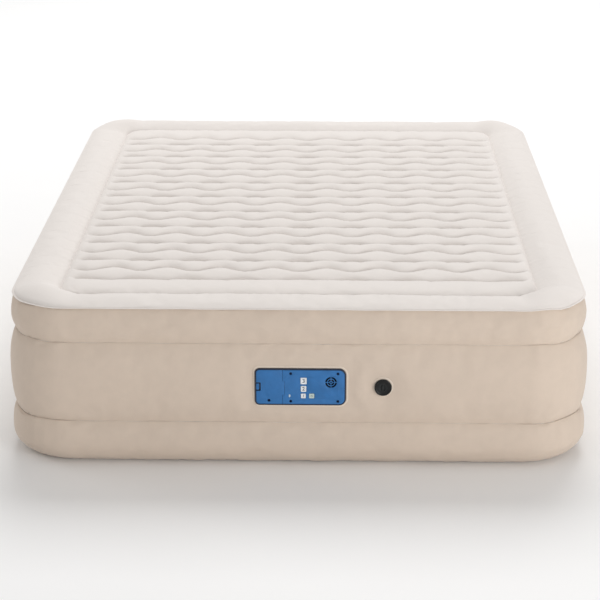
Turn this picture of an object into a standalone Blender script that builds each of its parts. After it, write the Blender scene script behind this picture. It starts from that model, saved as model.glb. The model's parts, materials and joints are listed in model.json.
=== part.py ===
"""Air mattress with a built-in electric pump, as an assembly of its separate pieces.

The frame has Z up and the pump on the -Y side, and its origin is the middle of the underside.
Every length is in metres.
"""

import math

import bmesh
import bpy
from mathutils import Vector

# Whole mattress
LENGTH = 2.03
WIDTH = 1.52
HEIGHT = 0.46
CORNER_RADIUS = 0.165
RADIUS_LOSS = 0.8  # share of an inset that comes off the corner radius
CORNER_STEPS = 6
ROLL_STEPS = 5
LOWER_STEPS = 3
GAP = 0.0003  # between neighbouring pieces
CUT_REACH = 0.02  # how far a cutter passes a thin wall

# Envelope sheets and the heights of their seams
WALL = 0.0005
DIVIDER_WALL = 0.0004
BEAM_WALL = 0.0004
LOWER_CREASE = 0.123
UPPER_CREASE = 0.337
RIM_SEAM = 0.433
LOWER_CREASE_INSET = 0.011
UPPER_CREASE_INSET = 0.0165
RIM_SEAM_INSET = 0.016
LOWER_BULGE_INSET = 0.0005
UPPER_BULGE_INSET = 0.009
BOTTOM_ROLL = 0.060
DIVIDER_MARGIN = 0.0018
DIVIDER_VENT_PLACE = (0.669, 0.406)
DIVIDER_VENT_RADIUS = 0.03

# Raised rim of the top sheet and the pillow field inside it
RIM_CREST_INSET = 0.075
CORNER_LIFT = 0.009
RIM_CREST = HEIGHT - CORNER_LIFT
RIM_STEPS = 4
FIELD_INSET = 0.134
FIELD_EDGE = 0.424
FIELD_SEAM_WIDTH = 0.010
GROOVE = 0.4205
PILLOW = 0.437
PILLOW_END = 0.064
GROOVE_COUNT = 20
GROOVE_PITCH = 0.0794
FIRST_GROOVE_Y = -0.755

# Beams that hold the top sheet and the core flat
BEAM_HALF_LENGTH = 0.575
BEAM_TOP = 0.4190
WAVE_LENGTH = 0.143
WAVE_HEIGHT = 0.018
WAVE_STEPS = 4
CORE_BEAM_PLACES = (-0.34, 0.34)
CORE_BEAM_HALF_LENGTH = 0.60

# Flat front of the middle band, where the pump and the valve are welded in, and the ends of its own panel
PATCH_INSET = 0.006
PATCH_Y = -LENGTH / 2 + PATCH_INSET
FRONT_PANEL_LEFT = -0.150
FRONT_PANEL_RIGHT = 0.270
BAND_STEPS = 8

# Pump: flange, panel pocket and tub
PUMP_X = 0.009
PUMP_Z = 0.226
FLANGE_WIDTH = 0.234
FLANGE_HEIGHT = 0.100
FLANGE_RADIUS_LEFT = 0.012
FLANGE_RADIUS_RIGHT = 0.018
RIM_WIDTH = 0.0033
FRONT_Y = -LENGTH / 2
POCKET_FLOOR_Y = FRONT_Y + 0.0035
FLANGE_BACK_Y = PATCH_Y - GAP
TUB_MARGIN = 0.006
TUB_WALL = 0.002
TUB_BACK_Y = -0.905
PANEL_CLEARANCE = 0.00035
PANEL_BACK_Y = POCKET_FLOOR_Y - GAP
CUT_FRONT_Y = FRONT_Y - 0.002
CUT_BACK_Y = PANEL_BACK_Y + 0.002

# Door of the cord compartment, its hinge and its latch
DOOR_EDGE_X = -0.0374
DOOR_TONGUE_X = -0.0318
TONGUE_LOW_Z = 0.2046
TONGUE_HIGH_Z = 0.2418
PANEL_EDGE_X = -0.0368
PANEL_RECESS_X = -0.0312
HINGE = (-0.0350, (FRONT_Y + PANEL_BACK_Y) / 2, PUMP_Z)
PIN_RADIUS = 0.00075
PIN_BORE_RADIUS = 0.00105
PIN_HALF_LENGTH = 0.0230
LATCH_Z = 0.2268
LATCH_SLOT_X = -0.0935
LATCH_SLOT_HALF = 0.0116
LATCH_X = -0.0965
LATCH_HALF = 0.0081
LATCH_NOSE = 0.0011
LATCH_NOSE_HALF = 0.0053
LATCH_PLATE_MARGIN = 0.002
LATCH_PLATE_THICKNESS = 0.001

# Cord compartment behind the door
TRAY = ((-0.0978, -1.0095, 0.1945), (-0.0405, -0.9250, 0.2655))
TRAY_WALL = 0.0015
GLAND_X = -0.060
GLAND_Z = 0.245
GLAND_HOLE_RADIUS = 0.0053
GLAND_BORE_RADIUS = 0.0034
GLAND_NECK_RADIUS = 0.0050
GLAND_FLANGE_RADIUS = 0.0068

# Fasteners, buttons and light
SCREW_HEAD_RADIUS = 0.0032
SCREW_HEAD_THICKNESS = 0.0013
SCREW_SHANK_RADIUS = 0.0014
SCREW_LENGTH = 0.0095
SCREW_COUNTERBORE = 0.0019
PANEL_SCREWS = ((-0.016, 0.263), (-0.016, 0.187), (0.105, 0.263), (0.105, 0.187))
DOOR_SCREW = (-0.072, 0.189)
BOSS_RADIUS = 0.0034
BOSS_BORE_RADIUS = 0.0017
BOSS_LENGTH = 0.0115
BUTTONS = (
    ("button_firm", 0.0171, 0.2431, 0.0156, 0.0174),
    ("button_medium", 0.0170, 0.2214, 0.0139, 0.0160),
    ("button_soft", 0.0165, 0.2020, 0.0123, 0.0124),
    ("button_deflate", 0.0379, 0.2020, 0.0131, 0.0124),
)
BUTTON_GAP = 0.0007
BUTTON_COLLAR = 0.0012
BUTTON_PROUD = 0.0010
BUTTON_LENGTH = 0.0070
LED = (-0.019, 0.202, 0.004, 0.008)

# Control board behind the buttons
BOARD = ((-0.030, -1.0050, 0.196), (0.052, -1.0034, 0.256))

# Vent grille
VENT_X = 0.0875
VENT_Z = 0.2391
OUTER_SLOTS = (0.0128, 0.0158)
INNER_SLOTS = (0.0065, 0.0095)
VENT_EYE_RADIUS = 0.0024

# Blower: volute, impeller, shaft and motor on one axis behind the grille
VOLUTE_RADIUS = 0.0280
VOLUTE_WALL = 0.0015
VOLUTE_FRONT_Y = -0.9985
VOLUTE_BACK_Y = -0.9745
CHUTE_END_X = 0.040
CHUTE_TOP_Z = 0.236
EYE_RADIUS = 0.014
SHAFT_RADIUS = 0.0020
SHAFT_CLEARANCE = 0.0003
SHAFT_HOLE_RADIUS = 0.0035
IMPELLER_RADIUS = 0.0245
HUB_RADIUS = 0.0060
BLADE_COUNT = 9
BLADE_THICKNESS = 0.0012
BLADE_SWEEP = 0.6
MOTOR_RADIUS = 0.016
MOTOR_FRONT_Y = -0.9725
MOTOR_BACK_Y = -0.930

# Outlet into the air chamber, with its one-way valve
OUTLET_X = 0.052
OUTLET_Z = 0.2235
DUCT_RADIUS = 0.011
DUCT_BORE_RADIUS = 0.0095
DUCT_END_Y = -0.900
OUTLET_DISC_RADIUS = 0.013
OUTLET_DISC_THICKNESS = 0.002
CAGE_RADIUS = 0.018
CAGE_WALL = 0.0015
CAGE_END_Y = -0.875
CAGE_VENT_OFFSET = 0.0105
CAGE_VENT_RADIUS = 0.0045
SPRING_RADIUS = 0.005
SPRING_WIRE = 0.0011
SPRING_TURNS = 5

# Inflation valve
VALVE_X = 0.221
VALVE_Z = 0.226
VALVE_BORE_RADIUS = 0.011
VALVE_NECK_RADIUS = 0.0138
VALVE_FLANGE_RADIUS = 0.0205
VALVE_FLANGE_THICKNESS = 0.0015
VALVE_NECK_END_Y = -0.985
CAP_RADIUS = 0.0225
CAP_PLUG_RADIUS = 0.0105
CAP_PLUG_LENGTH = 0.0090
SEAL_THICKNESS = 0.0007
FLAP_RADIUS = 0.0126
FLAP_THICKNESS = 0.001
FLAP_HINGE_RISE = 0.0145

ROUND_STEPS = 24
SMALL_ROUND_STEPS = 12
SMOOTH_ANGLE = math.radians(35)

# Colour, roughness and metallic value of each material
FINISHES = {
    "flocked_top": ((0.84, 0.79, 0.76), 0.95, 0.0),
    "flocked_side": ((0.58, 0.49, 0.41), 0.90, 0.0),
    "base_vinyl": ((0.45, 0.39, 0.33), 0.60, 0.0),
    "inner_vinyl": ((0.72, 0.72, 0.68), 0.50, 0.0),
    "navy_plastic": ((0.010, 0.016, 0.035), 0.45, 0.0),
    "blue_plastic": ((0.045, 0.165, 0.380), 0.38, 0.0),
    "dark_plastic": ((0.020, 0.021, 0.023), 0.50, 0.0),
    "button_plastic": ((0.80, 0.82, 0.84), 0.40, 0.0),
    "light_lens": ((0.85, 0.88, 0.90), 0.15, 0.0),
    "valve_plastic": ((0.018, 0.020, 0.021), 0.45, 0.0),
    "black_rubber": ((0.014, 0.014, 0.015), 0.80, 0.0),
    "screw_steel": ((0.055, 0.060, 0.070), 0.40, 0.8),
    "bright_steel": ((0.55, 0.55, 0.55), 0.30, 1.0),
    "circuit_board": ((0.02, 0.15, 0.06), 0.50, 0.0),
}


def clear_scene():
    for thing in list(bpy.data.objects):
        bpy.data.objects.remove(thing, do_unlink=True)


def finish(name):
    """The named material, made the first time that it is asked for."""
    found = bpy.data.materials.get(name)
    if found:
        return found
    colour, roughness, metallic = FINISHES[name]
    made = bpy.data.materials.new(name)
    made.use_nodes = True
    shader = made.node_tree.nodes["Principled BSDF"]
    shader.inputs["Base Color"].default_value = (*colour, 1.0)
    shader.inputs["Roughness"].default_value = roughness
    shader.inputs["Metallic"].default_value = metallic
    made.diffuse_color = (*colour, 1.0)
    return made


def add(name, mesh_data, material=None, origin=(0, 0, 0)):
    """An object from a bmesh in world places, with its own origin where it turns or slides."""
    bmesh.ops.translate(mesh_data, verts=mesh_data.verts, vec=-Vector(origin))
    mesh = bpy.data.meshes.new(name)
    mesh_data.to_mesh(mesh)
    mesh_data.free()
    made = bpy.data.objects.new(name, mesh)
    made.location = origin
    bpy.context.scene.collection.objects.link(made)
    if material:
        mesh.materials.append(finish(material))
        mesh.shade_smooth()
        mesh.set_sharp_from_angle(angle=SMOOTH_ANGLE)
    return made


def as_cutter(made):
    made.hide_render = True
    made.display_type = "WIRE"
    return made


def boolean(target, other, operation="DIFFERENCE"):
    """Cuts other from target, or joins it on, and leaves other as a hidden guide."""
    as_cutter(other)
    step = target.modifiers.new(operation.title(), "BOOLEAN")
    step.operation = operation
    step.solver = "EXACT"
    step.object = other


def solidify(target, thickness):
    """Gives an open surface its thickness on its inner side."""
    step = target.modifiers.new("Thickness", "SOLIDIFY")
    step.thickness = thickness
    step.offset = -1
    step.use_even_offset = True


def bridge(mesh_data, first, second):
    count = len(first)
    for i in range(count):
        j = (i + 1) % count
        mesh_data.faces.new((first[i], first[j], second[j], second[i]))


def loft_into(mesh_data, rings, ring_closed=False):
    """A closed skin through rings of equally many points: capped, or closed on itself as a tube."""
    made = [[mesh_data.verts.new(p) for p in ring] for ring in rings]
    for first, second in zip(made, made[1:]):
        bridge(mesh_data, first, second)
    if ring_closed:
        bridge(mesh_data, made[-1], made[0])
    else:
        mesh_data.faces.new(made[0])
        mesh_data.faces.new(made[-1])
    bmesh.ops.recalc_face_normals(mesh_data, faces=mesh_data.faces)


def loft(name, rings, material=None, origin=(0, 0, 0), ring_closed=False):
    mesh_data = bmesh.new()
    loft_into(mesh_data, rings, ring_closed)
    return add(name, mesh_data, material, origin)


def at_y(outline, y):
    """A flat (x, z) outline stood up at this depth."""
    return [(x, y, z) for x, z in outline]


def prism(name, outline, front_y, back_y, material=None, origin=(0, 0, 0)):
    return loft(name, [at_y(outline, front_y), at_y(outline, back_y)], material, origin)


def arc(x, z, radius, start, end, steps):
    """Points along a circle from one angle to another, both included, in radians."""
    angles = [start + (end - start) * i / steps for i in range(steps + 1)]
    return [(x + radius * math.cos(a), z + radius * math.sin(a)) for a in angles]


def circle(x, z, radius, steps=ROUND_STEPS):
    return arc(x, z, radius, 0, 2 * math.pi, steps)[:-1]


def rectangle(low, high):
    return [(low[0], low[1]), (high[0], low[1]), (high[0], high[1]), (low[0], high[1])]


def rounded_rectangle(x, z, width, height, left_radius, right_radius, steps=4):
    right = x + width / 2 - right_radius
    left = x - width / 2 + left_radius
    quarter = math.pi / 2
    points = arc(right, z - height / 2 + right_radius, right_radius, -quarter, 0, steps)
    points += arc(right, z + height / 2 - right_radius, right_radius, 0, quarter, steps)
    points += arc(left, z + height / 2 - left_radius, left_radius, quarter, 2 * quarter, steps)
    points += arc(left, z - height / 2 + left_radius, left_radius, 2 * quarter, 3 * quarter, steps)
    return points


def box(name, low, high, material=None, origin=(0, 0, 0)):
    outline = rectangle((low[0], low[2]), (high[0], high[2]))
    return prism(name, outline, low[1], high[1], material, origin)


def turned(name, x, z, profile, material=None, origin=(0, 0, 0), steps=ROUND_STEPS, ring_closed=False):
    """A round piece about an axis along Y, from its (radius, y) profile."""
    rings = [at_y(circle(x, z, radius, steps), y) for radius, y in profile]
    return loft(name, rings, material, origin, ring_closed)


# Envelope


def plan_outline(inset):
    """(x, y, corner share) round the mattress, this far inside its widest line."""
    half_x = WIDTH / 2 - inset
    half_y = LENGTH / 2 - inset
    radius = CORNER_RADIUS - RADIUS_LOSS * inset
    quarter = math.pi / 2
    points = []
    for corner, (side_x, side_y) in enumerate(((1, -1), (1, 1), (-1, 1), (-1, -1))):
        centre_x = side_x * (half_x - radius)
        centre_y = side_y * (half_y - radius)
        start = (corner - 1) * quarter
        for step, (x, y) in enumerate(arc(centre_x, centre_y, radius, start, start + quarter, CORNER_STEPS)):
            points.append((x, y, math.sin(math.pi * step / CORNER_STEPS)))
    return points


def bulge(low_z, high_z, low_inset, high_inset, middle_inset, steps):
    """(inset, z) up a band that swells between its two seams."""
    points = []
    for step in range(steps + 1):
        share = step / steps
        seam = low_inset + (high_inset - low_inset) * share
        swell = 1 - (2 * share - 1) ** 2
        points.append((seam * (1 - swell) + middle_inset * swell, low_z + (high_z - low_z) * share))
    return points


def band(name, profile, front_y=-LENGTH):
    """A ring of the side wall from its (inset, z) profile, held flat where it would pass front_y."""
    mesh_data = bmesh.new()
    previous = None
    for inset, z in profile:
        ring = [mesh_data.verts.new((x, max(y, front_y), z)) for x, y, _ in plan_outline(inset)]
        if previous:
            bridge(mesh_data, previous, ring)
        previous = ring
    made = add(name, mesh_data, "flocked_side")
    solidify(made, WALL)
    return made


def lower_side_band():
    middle_z = BOTTOM_ROLL + GAP
    roll_width = BOTTOM_ROLL - LOWER_BULGE_INSET
    profile = []
    for step in range(ROLL_STEPS):
        angle = math.pi / 2 * (1 - step / ROLL_STEPS)
        profile.append((BOTTOM_ROLL - roll_width * math.cos(angle), middle_z * (1 - math.sin(angle))))
    for step in range(LOWER_STEPS + 1):
        share = step / LOWER_STEPS
        inset = LOWER_BULGE_INSET + (LOWER_CREASE_INSET - LOWER_BULGE_INSET) * share**2
        profile.append((inset, middle_z + (LOWER_CREASE - GAP / 2 - middle_z) * share))
    band("lower_side_band", profile)


def middle_profile():
    low, high = LOWER_CREASE + GAP / 2, UPPER_CREASE - GAP / 2
    return bulge(low, high, LOWER_CREASE_INSET, UPPER_CREASE_INSET, 0, BAND_STEPS)


def middle_side_band():
    """The middle ring of the side wall, open at the front for the panel that holds the pump."""
    made = band("middle_side_band", middle_profile(), PATCH_Y)
    low = (FRONT_PANEL_LEFT, -LENGTH / 2 - CUT_REACH, LOWER_CREASE - CUT_REACH)
    high = (FRONT_PANEL_RIGHT, PATCH_Y + CUT_REACH, UPPER_CREASE + CUT_REACH)
    boolean(made, box("front_panel_gap", low, high))


def front_side_panel():
    """The front panel of the middle band, with the holes for the pump and the valve."""
    mesh_data = bmesh.new()
    ends = (FRONT_PANEL_LEFT + GAP, FRONT_PANEL_RIGHT - GAP)
    previous = None
    for inset, z in middle_profile():
        row = [mesh_data.verts.new((x, max(inset - LENGTH / 2, PATCH_Y), z)) for x in ends]
        if previous:
            mesh_data.faces.new((previous[0], previous[1], row[1], row[0]))
        previous = row
    made = add("front_side_panel", mesh_data, "flocked_side")
    solidify(made, WALL)
    tub_hole = rounded_rectangle(
        PUMP_X,
        PUMP_Z,
        FLANGE_WIDTH - 2 * TUB_MARGIN + 4 * GAP,
        FLANGE_HEIGHT - 2 * TUB_MARGIN + 4 * GAP,
        FLANGE_RADIUS_LEFT - TUB_MARGIN,
        FLANGE_RADIUS_RIGHT - TUB_MARGIN,
    )
    boolean(made, prism("pump_hole", tub_hole, PATCH_Y - CUT_REACH, PATCH_Y + CUT_REACH))
    valve_hole = circle(VALVE_X, VALVE_Z, VALVE_NECK_RADIUS + 2 * GAP)
    boolean(made, prism("valve_hole", valve_hole, PATCH_Y - CUT_REACH, PATCH_Y + CUT_REACH))


def upper_side_band():
    low, high = UPPER_CREASE + GAP / 2, RIM_SEAM - GAP / 2
    band("upper_side_band", bulge(low, high, UPPER_CREASE_INSET, RIM_SEAM_INSET, UPPER_BULGE_INSET, 4))


def rim_profile():
    """(inset, z) over the raised rim, from the side seam to the edge of the pillow field."""
    quarter = math.pi / 2
    outer_width = RIM_CREST_INSET - RIM_SEAM_INSET
    inner_width = FIELD_INSET - RIM_CREST_INSET
    low = RIM_SEAM + GAP / 2
    points = []
    for step in range(RIM_STEPS + 1):
        angle = quarter * step / RIM_STEPS
        points.append((RIM_CREST_INSET - outer_width * math.cos(angle), low + (RIM_CREST - low) * math.sin(angle)))
    for step in range(1, RIM_STEPS + 1):
        angle = quarter * step / RIM_STEPS
        drop = (RIM_CREST - FIELD_EDGE) * (1 - math.cos(angle))
        points.append((RIM_CREST_INSET + inner_width * math.sin(angle), RIM_CREST - drop))
    return points


def field_rows():
    """(y, z) of each groove and pillow crest from the front of the field to its rear."""
    last_groove = FIRST_GROOVE_Y + GROOVE_PITCH * (GROOVE_COUNT - 1)
    edge = LENGTH / 2 - FIELD_INSET - FIELD_SEAM_WIDTH
    rows = [(-edge, FIELD_EDGE), ((FIRST_GROOVE_Y - edge) / 2, PILLOW)]
    for number in range(GROOVE_COUNT):
        y = FIRST_GROOVE_Y + GROOVE_PITCH * number
        rows.append((y, GROOVE))
        if number < GROOVE_COUNT - 1:
            rows.append((y + GROOVE_PITCH / 2, PILLOW))
    rows += [((last_groove + edge) / 2, PILLOW), (edge, FIELD_EDGE)]
    return rows


def top_sheet():
    mesh_data = bmesh.new()
    crest_low = RIM_SEAM + GAP / 2
    previous = None
    for inset, z in rim_profile():
        lift = CORNER_LIFT * max(0.0, (z - crest_low) / (RIM_CREST - crest_low))
        ring = [mesh_data.verts.new((x, y, z + lift * corner)) for x, y, corner in plan_outline(inset)]
        if previous:
            bridge(mesh_data, previous, ring)
        previous = ring
    edge_x = WIDTH / 2 - FIELD_INSET - FIELD_SEAM_WIDTH
    columns = (-edge_x, PILLOW_END - edge_x, edge_x - PILLOW_END, edge_x)
    rows = []
    for y, z in field_rows():
        heights = (FIELD_EDGE, z, z, FIELD_EDGE)
        rows.append([mesh_data.verts.new((x, y, h)) for x, h in zip(columns, heights)])
    for first, second in zip(rows, rows[1:]):
        for i in range(len(columns) - 1):
            mesh_data.faces.new((first[i], first[i + 1], second[i + 1], second[i]))
    inner = set(previous)
    field = {vert for row in rows for vert in row}
    loose = [e for e in mesh_data.edges if e.is_boundary and set(e.verts) <= inner | field]
    bmesh.ops.triangle_fill(mesh_data, use_beauty=True, edges=loose)
    bmesh.ops.recalc_face_normals(mesh_data, faces=mesh_data.faces)
    if sum(face.normal.z for face in mesh_data.faces) < 0:
        bmesh.ops.reverse_faces(mesh_data, faces=mesh_data.faces)
    made = add("top_sheet", mesh_data, "flocked_top")
    solidify(made, WALL)


def plate(name, inset, middle_z, thickness, material):
    low, high = middle_z - thickness / 2, middle_z + thickness / 2
    outline = [(x, y) for x, y, _ in plan_outline(inset)]
    rings = [[(x, y, z) for x, y in outline] for z in (low, high)]
    return loft(name, rings, material)


def bottom_sheet():
    plate("bottom_sheet", BOTTOM_ROLL + GAP, WALL / 2, WALL, "base_vinyl")


def divider_sheet(name, crease_inset, crease_z):
    """An inner sheet that ties the side seams together, with vents that let the air through."""
    made = plate(name, crease_inset + DIVIDER_MARGIN, crease_z, DIVIDER_WALL, "inner_vinyl")
    vents = bmesh.new()
    place_x, place_y = DIVIDER_VENT_PLACE
    for side_x in (-1, 1):
        for side_y in (-1, 1):
            hole = circle(side_x * place_x, side_y * place_y, DIVIDER_VENT_RADIUS, SMALL_ROUND_STEPS)
            loft_into(vents, [[(x, y, crease_z + z) for x, y in hole] for z in (-CUT_REACH, CUT_REACH)])
    boolean(made, add(f"{name}_vents", vents))


def ribbon(name, path, low, high):
    """A standing strip of vinyl along a (x, y) path."""
    half = BEAM_WALL / 2
    near = [(x, y - half) for x, y in path]
    far = [(x, y + half) for x, y in reversed(path)]
    outline = near + far
    loft(name, [[(x, y, z) for x, y in outline] for z in (low, high)], "inner_vinyl")


def top_beams():
    """The strips under the grooves of the top sheet, straight and wavy in turn."""
    low = UPPER_CREASE + DIVIDER_WALL / 2 + GAP
    wave_count = 2 * BEAM_HALF_LENGTH / WAVE_LENGTH
    steps = round(wave_count * WAVE_STEPS)
    for number in range(GROOVE_COUNT):
        y = FIRST_GROOVE_Y + GROOVE_PITCH * number
        if number % 2 == 0:
            path = [(-BEAM_HALF_LENGTH, y), (BEAM_HALF_LENGTH, y)]
            name = f"straight_beam_{number // 2 + 1:02d}"
        else:
            across = [BEAM_HALF_LENGTH * (2 * i / steps - 1) for i in range(steps + 1)]
            path = [(x, y - WAVE_HEIGHT * math.cos(2 * math.pi * x / WAVE_LENGTH)) for x in across]
            name = f"wavy_beam_{number // 2 + 1:02d}"
        ribbon(name, path, low, BEAM_TOP)


def core_beams():
    low = LOWER_CREASE + DIVIDER_WALL / 2 + GAP
    high = UPPER_CREASE - DIVIDER_WALL / 2 - GAP
    for number, y in enumerate(CORE_BEAM_PLACES, start=1):
        ribbon(f"core_beam_{number}", [(-CORE_BEAM_HALF_LENGTH, y), (CORE_BEAM_HALF_LENGTH, y)], low, high)


# Pump


def pump_outline(margin):
    """The flange's outline, this far inside its edge."""
    return rounded_rectangle(
        PUMP_X,
        PUMP_Z,
        FLANGE_WIDTH - 2 * margin,
        FLANGE_HEIGHT - 2 * margin,
        FLANGE_RADIUS_LEFT - margin,
        FLANGE_RADIUS_RIGHT - margin,
    )


def tub_outline(margin):
    """The tub's outline, with corners that stay round however thick its wall is."""
    return rounded_rectangle(
        PUMP_X,
        PUMP_Z,
        FLANGE_WIDTH - 2 * margin,
        FLANGE_HEIGHT - 2 * margin,
        FLANGE_RADIUS_LEFT - TUB_MARGIN,
        FLANGE_RADIUS_RIGHT - TUB_MARGIN,
    )


def boss_outline(x, z):
    """A screw boss that runs into the nearer of the tub's long walls."""
    inner_half = FLANGE_HEIGHT / 2 - TUB_MARGIN - TUB_WALL / 2
    upward = z > PUMP_Z
    wall_z = PUMP_Z + inner_half if upward else PUMP_Z - inner_half
    start = math.pi if upward else 0
    points = arc(x, z, BOSS_RADIUS, start, start + math.pi, 6)
    side = BOSS_RADIUS if upward else -BOSS_RADIUS
    return points + [(x + side, wall_z), (x - side, wall_z)]


def pump_housing():
    inner = TUB_MARGIN + TUB_WALL
    rings = [
        at_y(tub_outline(inner), TUB_BACK_Y - TUB_WALL),
        at_y(tub_outline(inner), POCKET_FLOOR_Y),
        at_y(pump_outline(RIM_WIDTH), POCKET_FLOOR_Y),
        at_y(pump_outline(RIM_WIDTH), FRONT_Y + GAP),
        at_y(pump_outline(RIM_WIDTH / 3), FRONT_Y),
        at_y(pump_outline(0), FRONT_Y + RIM_WIDTH / 3),
        at_y(pump_outline(0), FLANGE_BACK_Y),
        at_y(tub_outline(TUB_MARGIN), FLANGE_BACK_Y),
        at_y(tub_outline(TUB_MARGIN), TUB_BACK_Y),
    ]
    made = loft("pump_housing", rings, "navy_plastic")
    bosses = bmesh.new()
    bores = bmesh.new()
    overlap = 0.0002
    for x, z in (*PANEL_SCREWS, DOOR_SCREW):
        outline = boss_outline(x, z)
        loft_into(bosses, [at_y(outline, POCKET_FLOOR_Y + overlap), at_y(outline, POCKET_FLOOR_Y + BOSS_LENGTH)])
        bore = circle(x, z, BOSS_BORE_RADIUS, SMALL_ROUND_STEPS)
        loft_into(bores, [at_y(bore, CUT_FRONT_Y), at_y(bore, POCKET_FLOOR_Y + BOSS_LENGTH + overlap)])
    boolean(made, add("screw_bosses", bosses), "UNION")
    boolean(made, add("screw_bores", bores))
    duct = circle(OUTLET_X, OUTLET_Z, DUCT_RADIUS + GAP)
    boolean(made, prism("duct_hole", duct, TUB_BACK_Y - 2 * TUB_WALL, TUB_BACK_Y + TUB_WALL))
    edge_x = PUMP_X - FLANGE_WIDTH / 2 + RIM_WIDTH
    notch_half = LATCH_HALF - 0.0018
    low = (edge_x - 0.0013, FRONT_Y + 0.0009, LATCH_Z - notch_half)
    high = (edge_x + 0.0010, POCKET_FLOOR_Y - GAP, LATCH_Z + notch_half)
    boolean(made, box("latch_notch", low, high))


def blue_edges():
    """Lowest and highest z of the panel and the door."""
    half = FLANGE_HEIGHT / 2 - RIM_WIDTH - PANEL_CLEARANCE
    return PUMP_Z - half, PUMP_Z + half


def screw_cut(mesh_data, x, z):
    rings = [
        at_y(circle(x, z, SCREW_HEAD_RADIUS + 2 * GAP, SMALL_ROUND_STEPS), CUT_FRONT_Y),
        at_y(circle(x, z, SCREW_HEAD_RADIUS + 2 * GAP, SMALL_ROUND_STEPS), FRONT_Y + SCREW_COUNTERBORE),
        at_y(circle(x, z, BOSS_BORE_RADIUS, SMALL_ROUND_STEPS), FRONT_Y + SCREW_COUNTERBORE),
        at_y(circle(x, z, BOSS_BORE_RADIUS, SMALL_ROUND_STEPS), CUT_BACK_Y),
    ]
    loft_into(mesh_data, rings)


def arc_slot(radii, middle, share):
    """A slot along a circle, centred on one angle and covering this share of a quarter turn."""
    half = math.pi / 4 * share
    inner = arc(VENT_X, VENT_Z, radii[0], middle - half, middle + half, 5)
    outer = arc(VENT_X, VENT_Z, radii[1], middle + half, middle - half, 5)
    return inner + outer


def pin_bore(name):
    """A cutter along the hinge axis."""
    reach = PIN_HALF_LENGTH + 2 * GAP
    ring = circle(HINGE[0], HINGE[1], PIN_BORE_RADIUS, SMALL_ROUND_STEPS)
    return loft(name, [[(x, y, HINGE[2] + z) for x, y in ring] for z in (-reach, reach)])


def control_panel():
    low, high = blue_edges()
    radius = FLANGE_RADIUS_RIGHT - RIM_WIDTH - PANEL_CLEARANCE
    right = PUMP_X + FLANGE_WIDTH / 2 - RIM_WIDTH - PANEL_CLEARANCE
    quarter = math.pi / 2
    tongue_low, tongue_high = TONGUE_LOW_Z - 2 * GAP, TONGUE_HIGH_Z + 2 * GAP
    outline = arc(right - radius, low + radius, radius, -quarter, 0, 5)
    outline += arc(right - radius, high - radius, radius, 0, quarter, 5)
    outline += [(PANEL_EDGE_X, high), (PANEL_EDGE_X, tongue_high), (PANEL_RECESS_X, tongue_high)]
    outline += [(PANEL_RECESS_X, tongue_low), (PANEL_EDGE_X, tongue_low), (PANEL_EDGE_X, low)]
    made = prism("control_panel", outline, FRONT_Y, PANEL_BACK_Y, "blue_plastic")
    cuts = bmesh.new()
    for _, x, z, width, height in BUTTONS:
        gap = 2 * BUTTON_GAP
        hole = rounded_rectangle(x, z, width + gap, height + gap, 0.0022, 0.0022, 2)
        loft_into(cuts, [at_y(hole, CUT_FRONT_Y), at_y(hole, CUT_BACK_Y)])
    hole = rounded_rectangle(LED[0], LED[1], LED[2] + 2 * GAP, LED[3] + 2 * GAP, 0.002, 0.002, 3)
    loft_into(cuts, [at_y(hole, CUT_FRONT_Y), at_y(hole, CUT_BACK_Y)])
    for x, z in PANEL_SCREWS:
        screw_cut(cuts, x, z)
    for number in range(4):
        for radii, turn, share in ((OUTER_SLOTS, 0.5, 0.84), (INNER_SLOTS, 0, 0.62)):
            slot = arc_slot(radii, (number + turn) * quarter, share)
            loft_into(cuts, [at_y(slot, CUT_FRONT_Y), at_y(slot, CUT_BACK_Y)])
    eye = circle(VENT_X, VENT_Z, VENT_EYE_RADIUS, SMALL_ROUND_STEPS)
    loft_into(cuts, [at_y(eye, CUT_FRONT_Y), at_y(eye, CUT_BACK_Y)])
    boolean(made, add("panel_cuts", cuts))
    boolean(made, pin_bore("panel_pin_bore"))


def cord_door():
    low, high = blue_edges()
    radius = FLANGE_RADIUS_LEFT - RIM_WIDTH - PANEL_CLEARANCE
    left = PUMP_X - FLANGE_WIDTH / 2 + RIM_WIDTH + PANEL_CLEARANCE
    quarter = math.pi / 2
    outline = [(DOOR_EDGE_X, low), (DOOR_EDGE_X, TONGUE_LOW_Z), (DOOR_TONGUE_X, TONGUE_LOW_Z)]
    outline += [(DOOR_TONGUE_X, TONGUE_HIGH_Z), (DOOR_EDGE_X, TONGUE_HIGH_Z), (DOOR_EDGE_X, high)]
    outline += arc(left + radius, high - radius, radius, quarter, 2 * quarter, 5)
    outline += arc(left + radius, low + radius, radius, 2 * quarter, 3 * quarter, 5)
    made = prism("cord_door", outline, FRONT_Y, PANEL_BACK_Y, "blue_plastic", HINGE)
    x, z = DOOR_SCREW
    notch_radius = SCREW_HEAD_RADIUS + 0.0008
    notch = arc(x, z, notch_radius, 0, math.pi, 8)
    notch += [(x - notch_radius, low - 0.002), (x + notch_radius, low - 0.002)]
    boolean(made, prism("screw_notch", notch, CUT_FRONT_Y, CUT_BACK_Y))
    slot_low = (left - 0.002, CUT_FRONT_Y, LATCH_Z - LATCH_SLOT_HALF)
    slot_high = (LATCH_SLOT_X, CUT_BACK_Y, LATCH_Z + LATCH_SLOT_HALF)
    boolean(made, box("latch_slot", slot_low, slot_high))
    boolean(made, pin_bore("door_pin_bore"))


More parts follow.
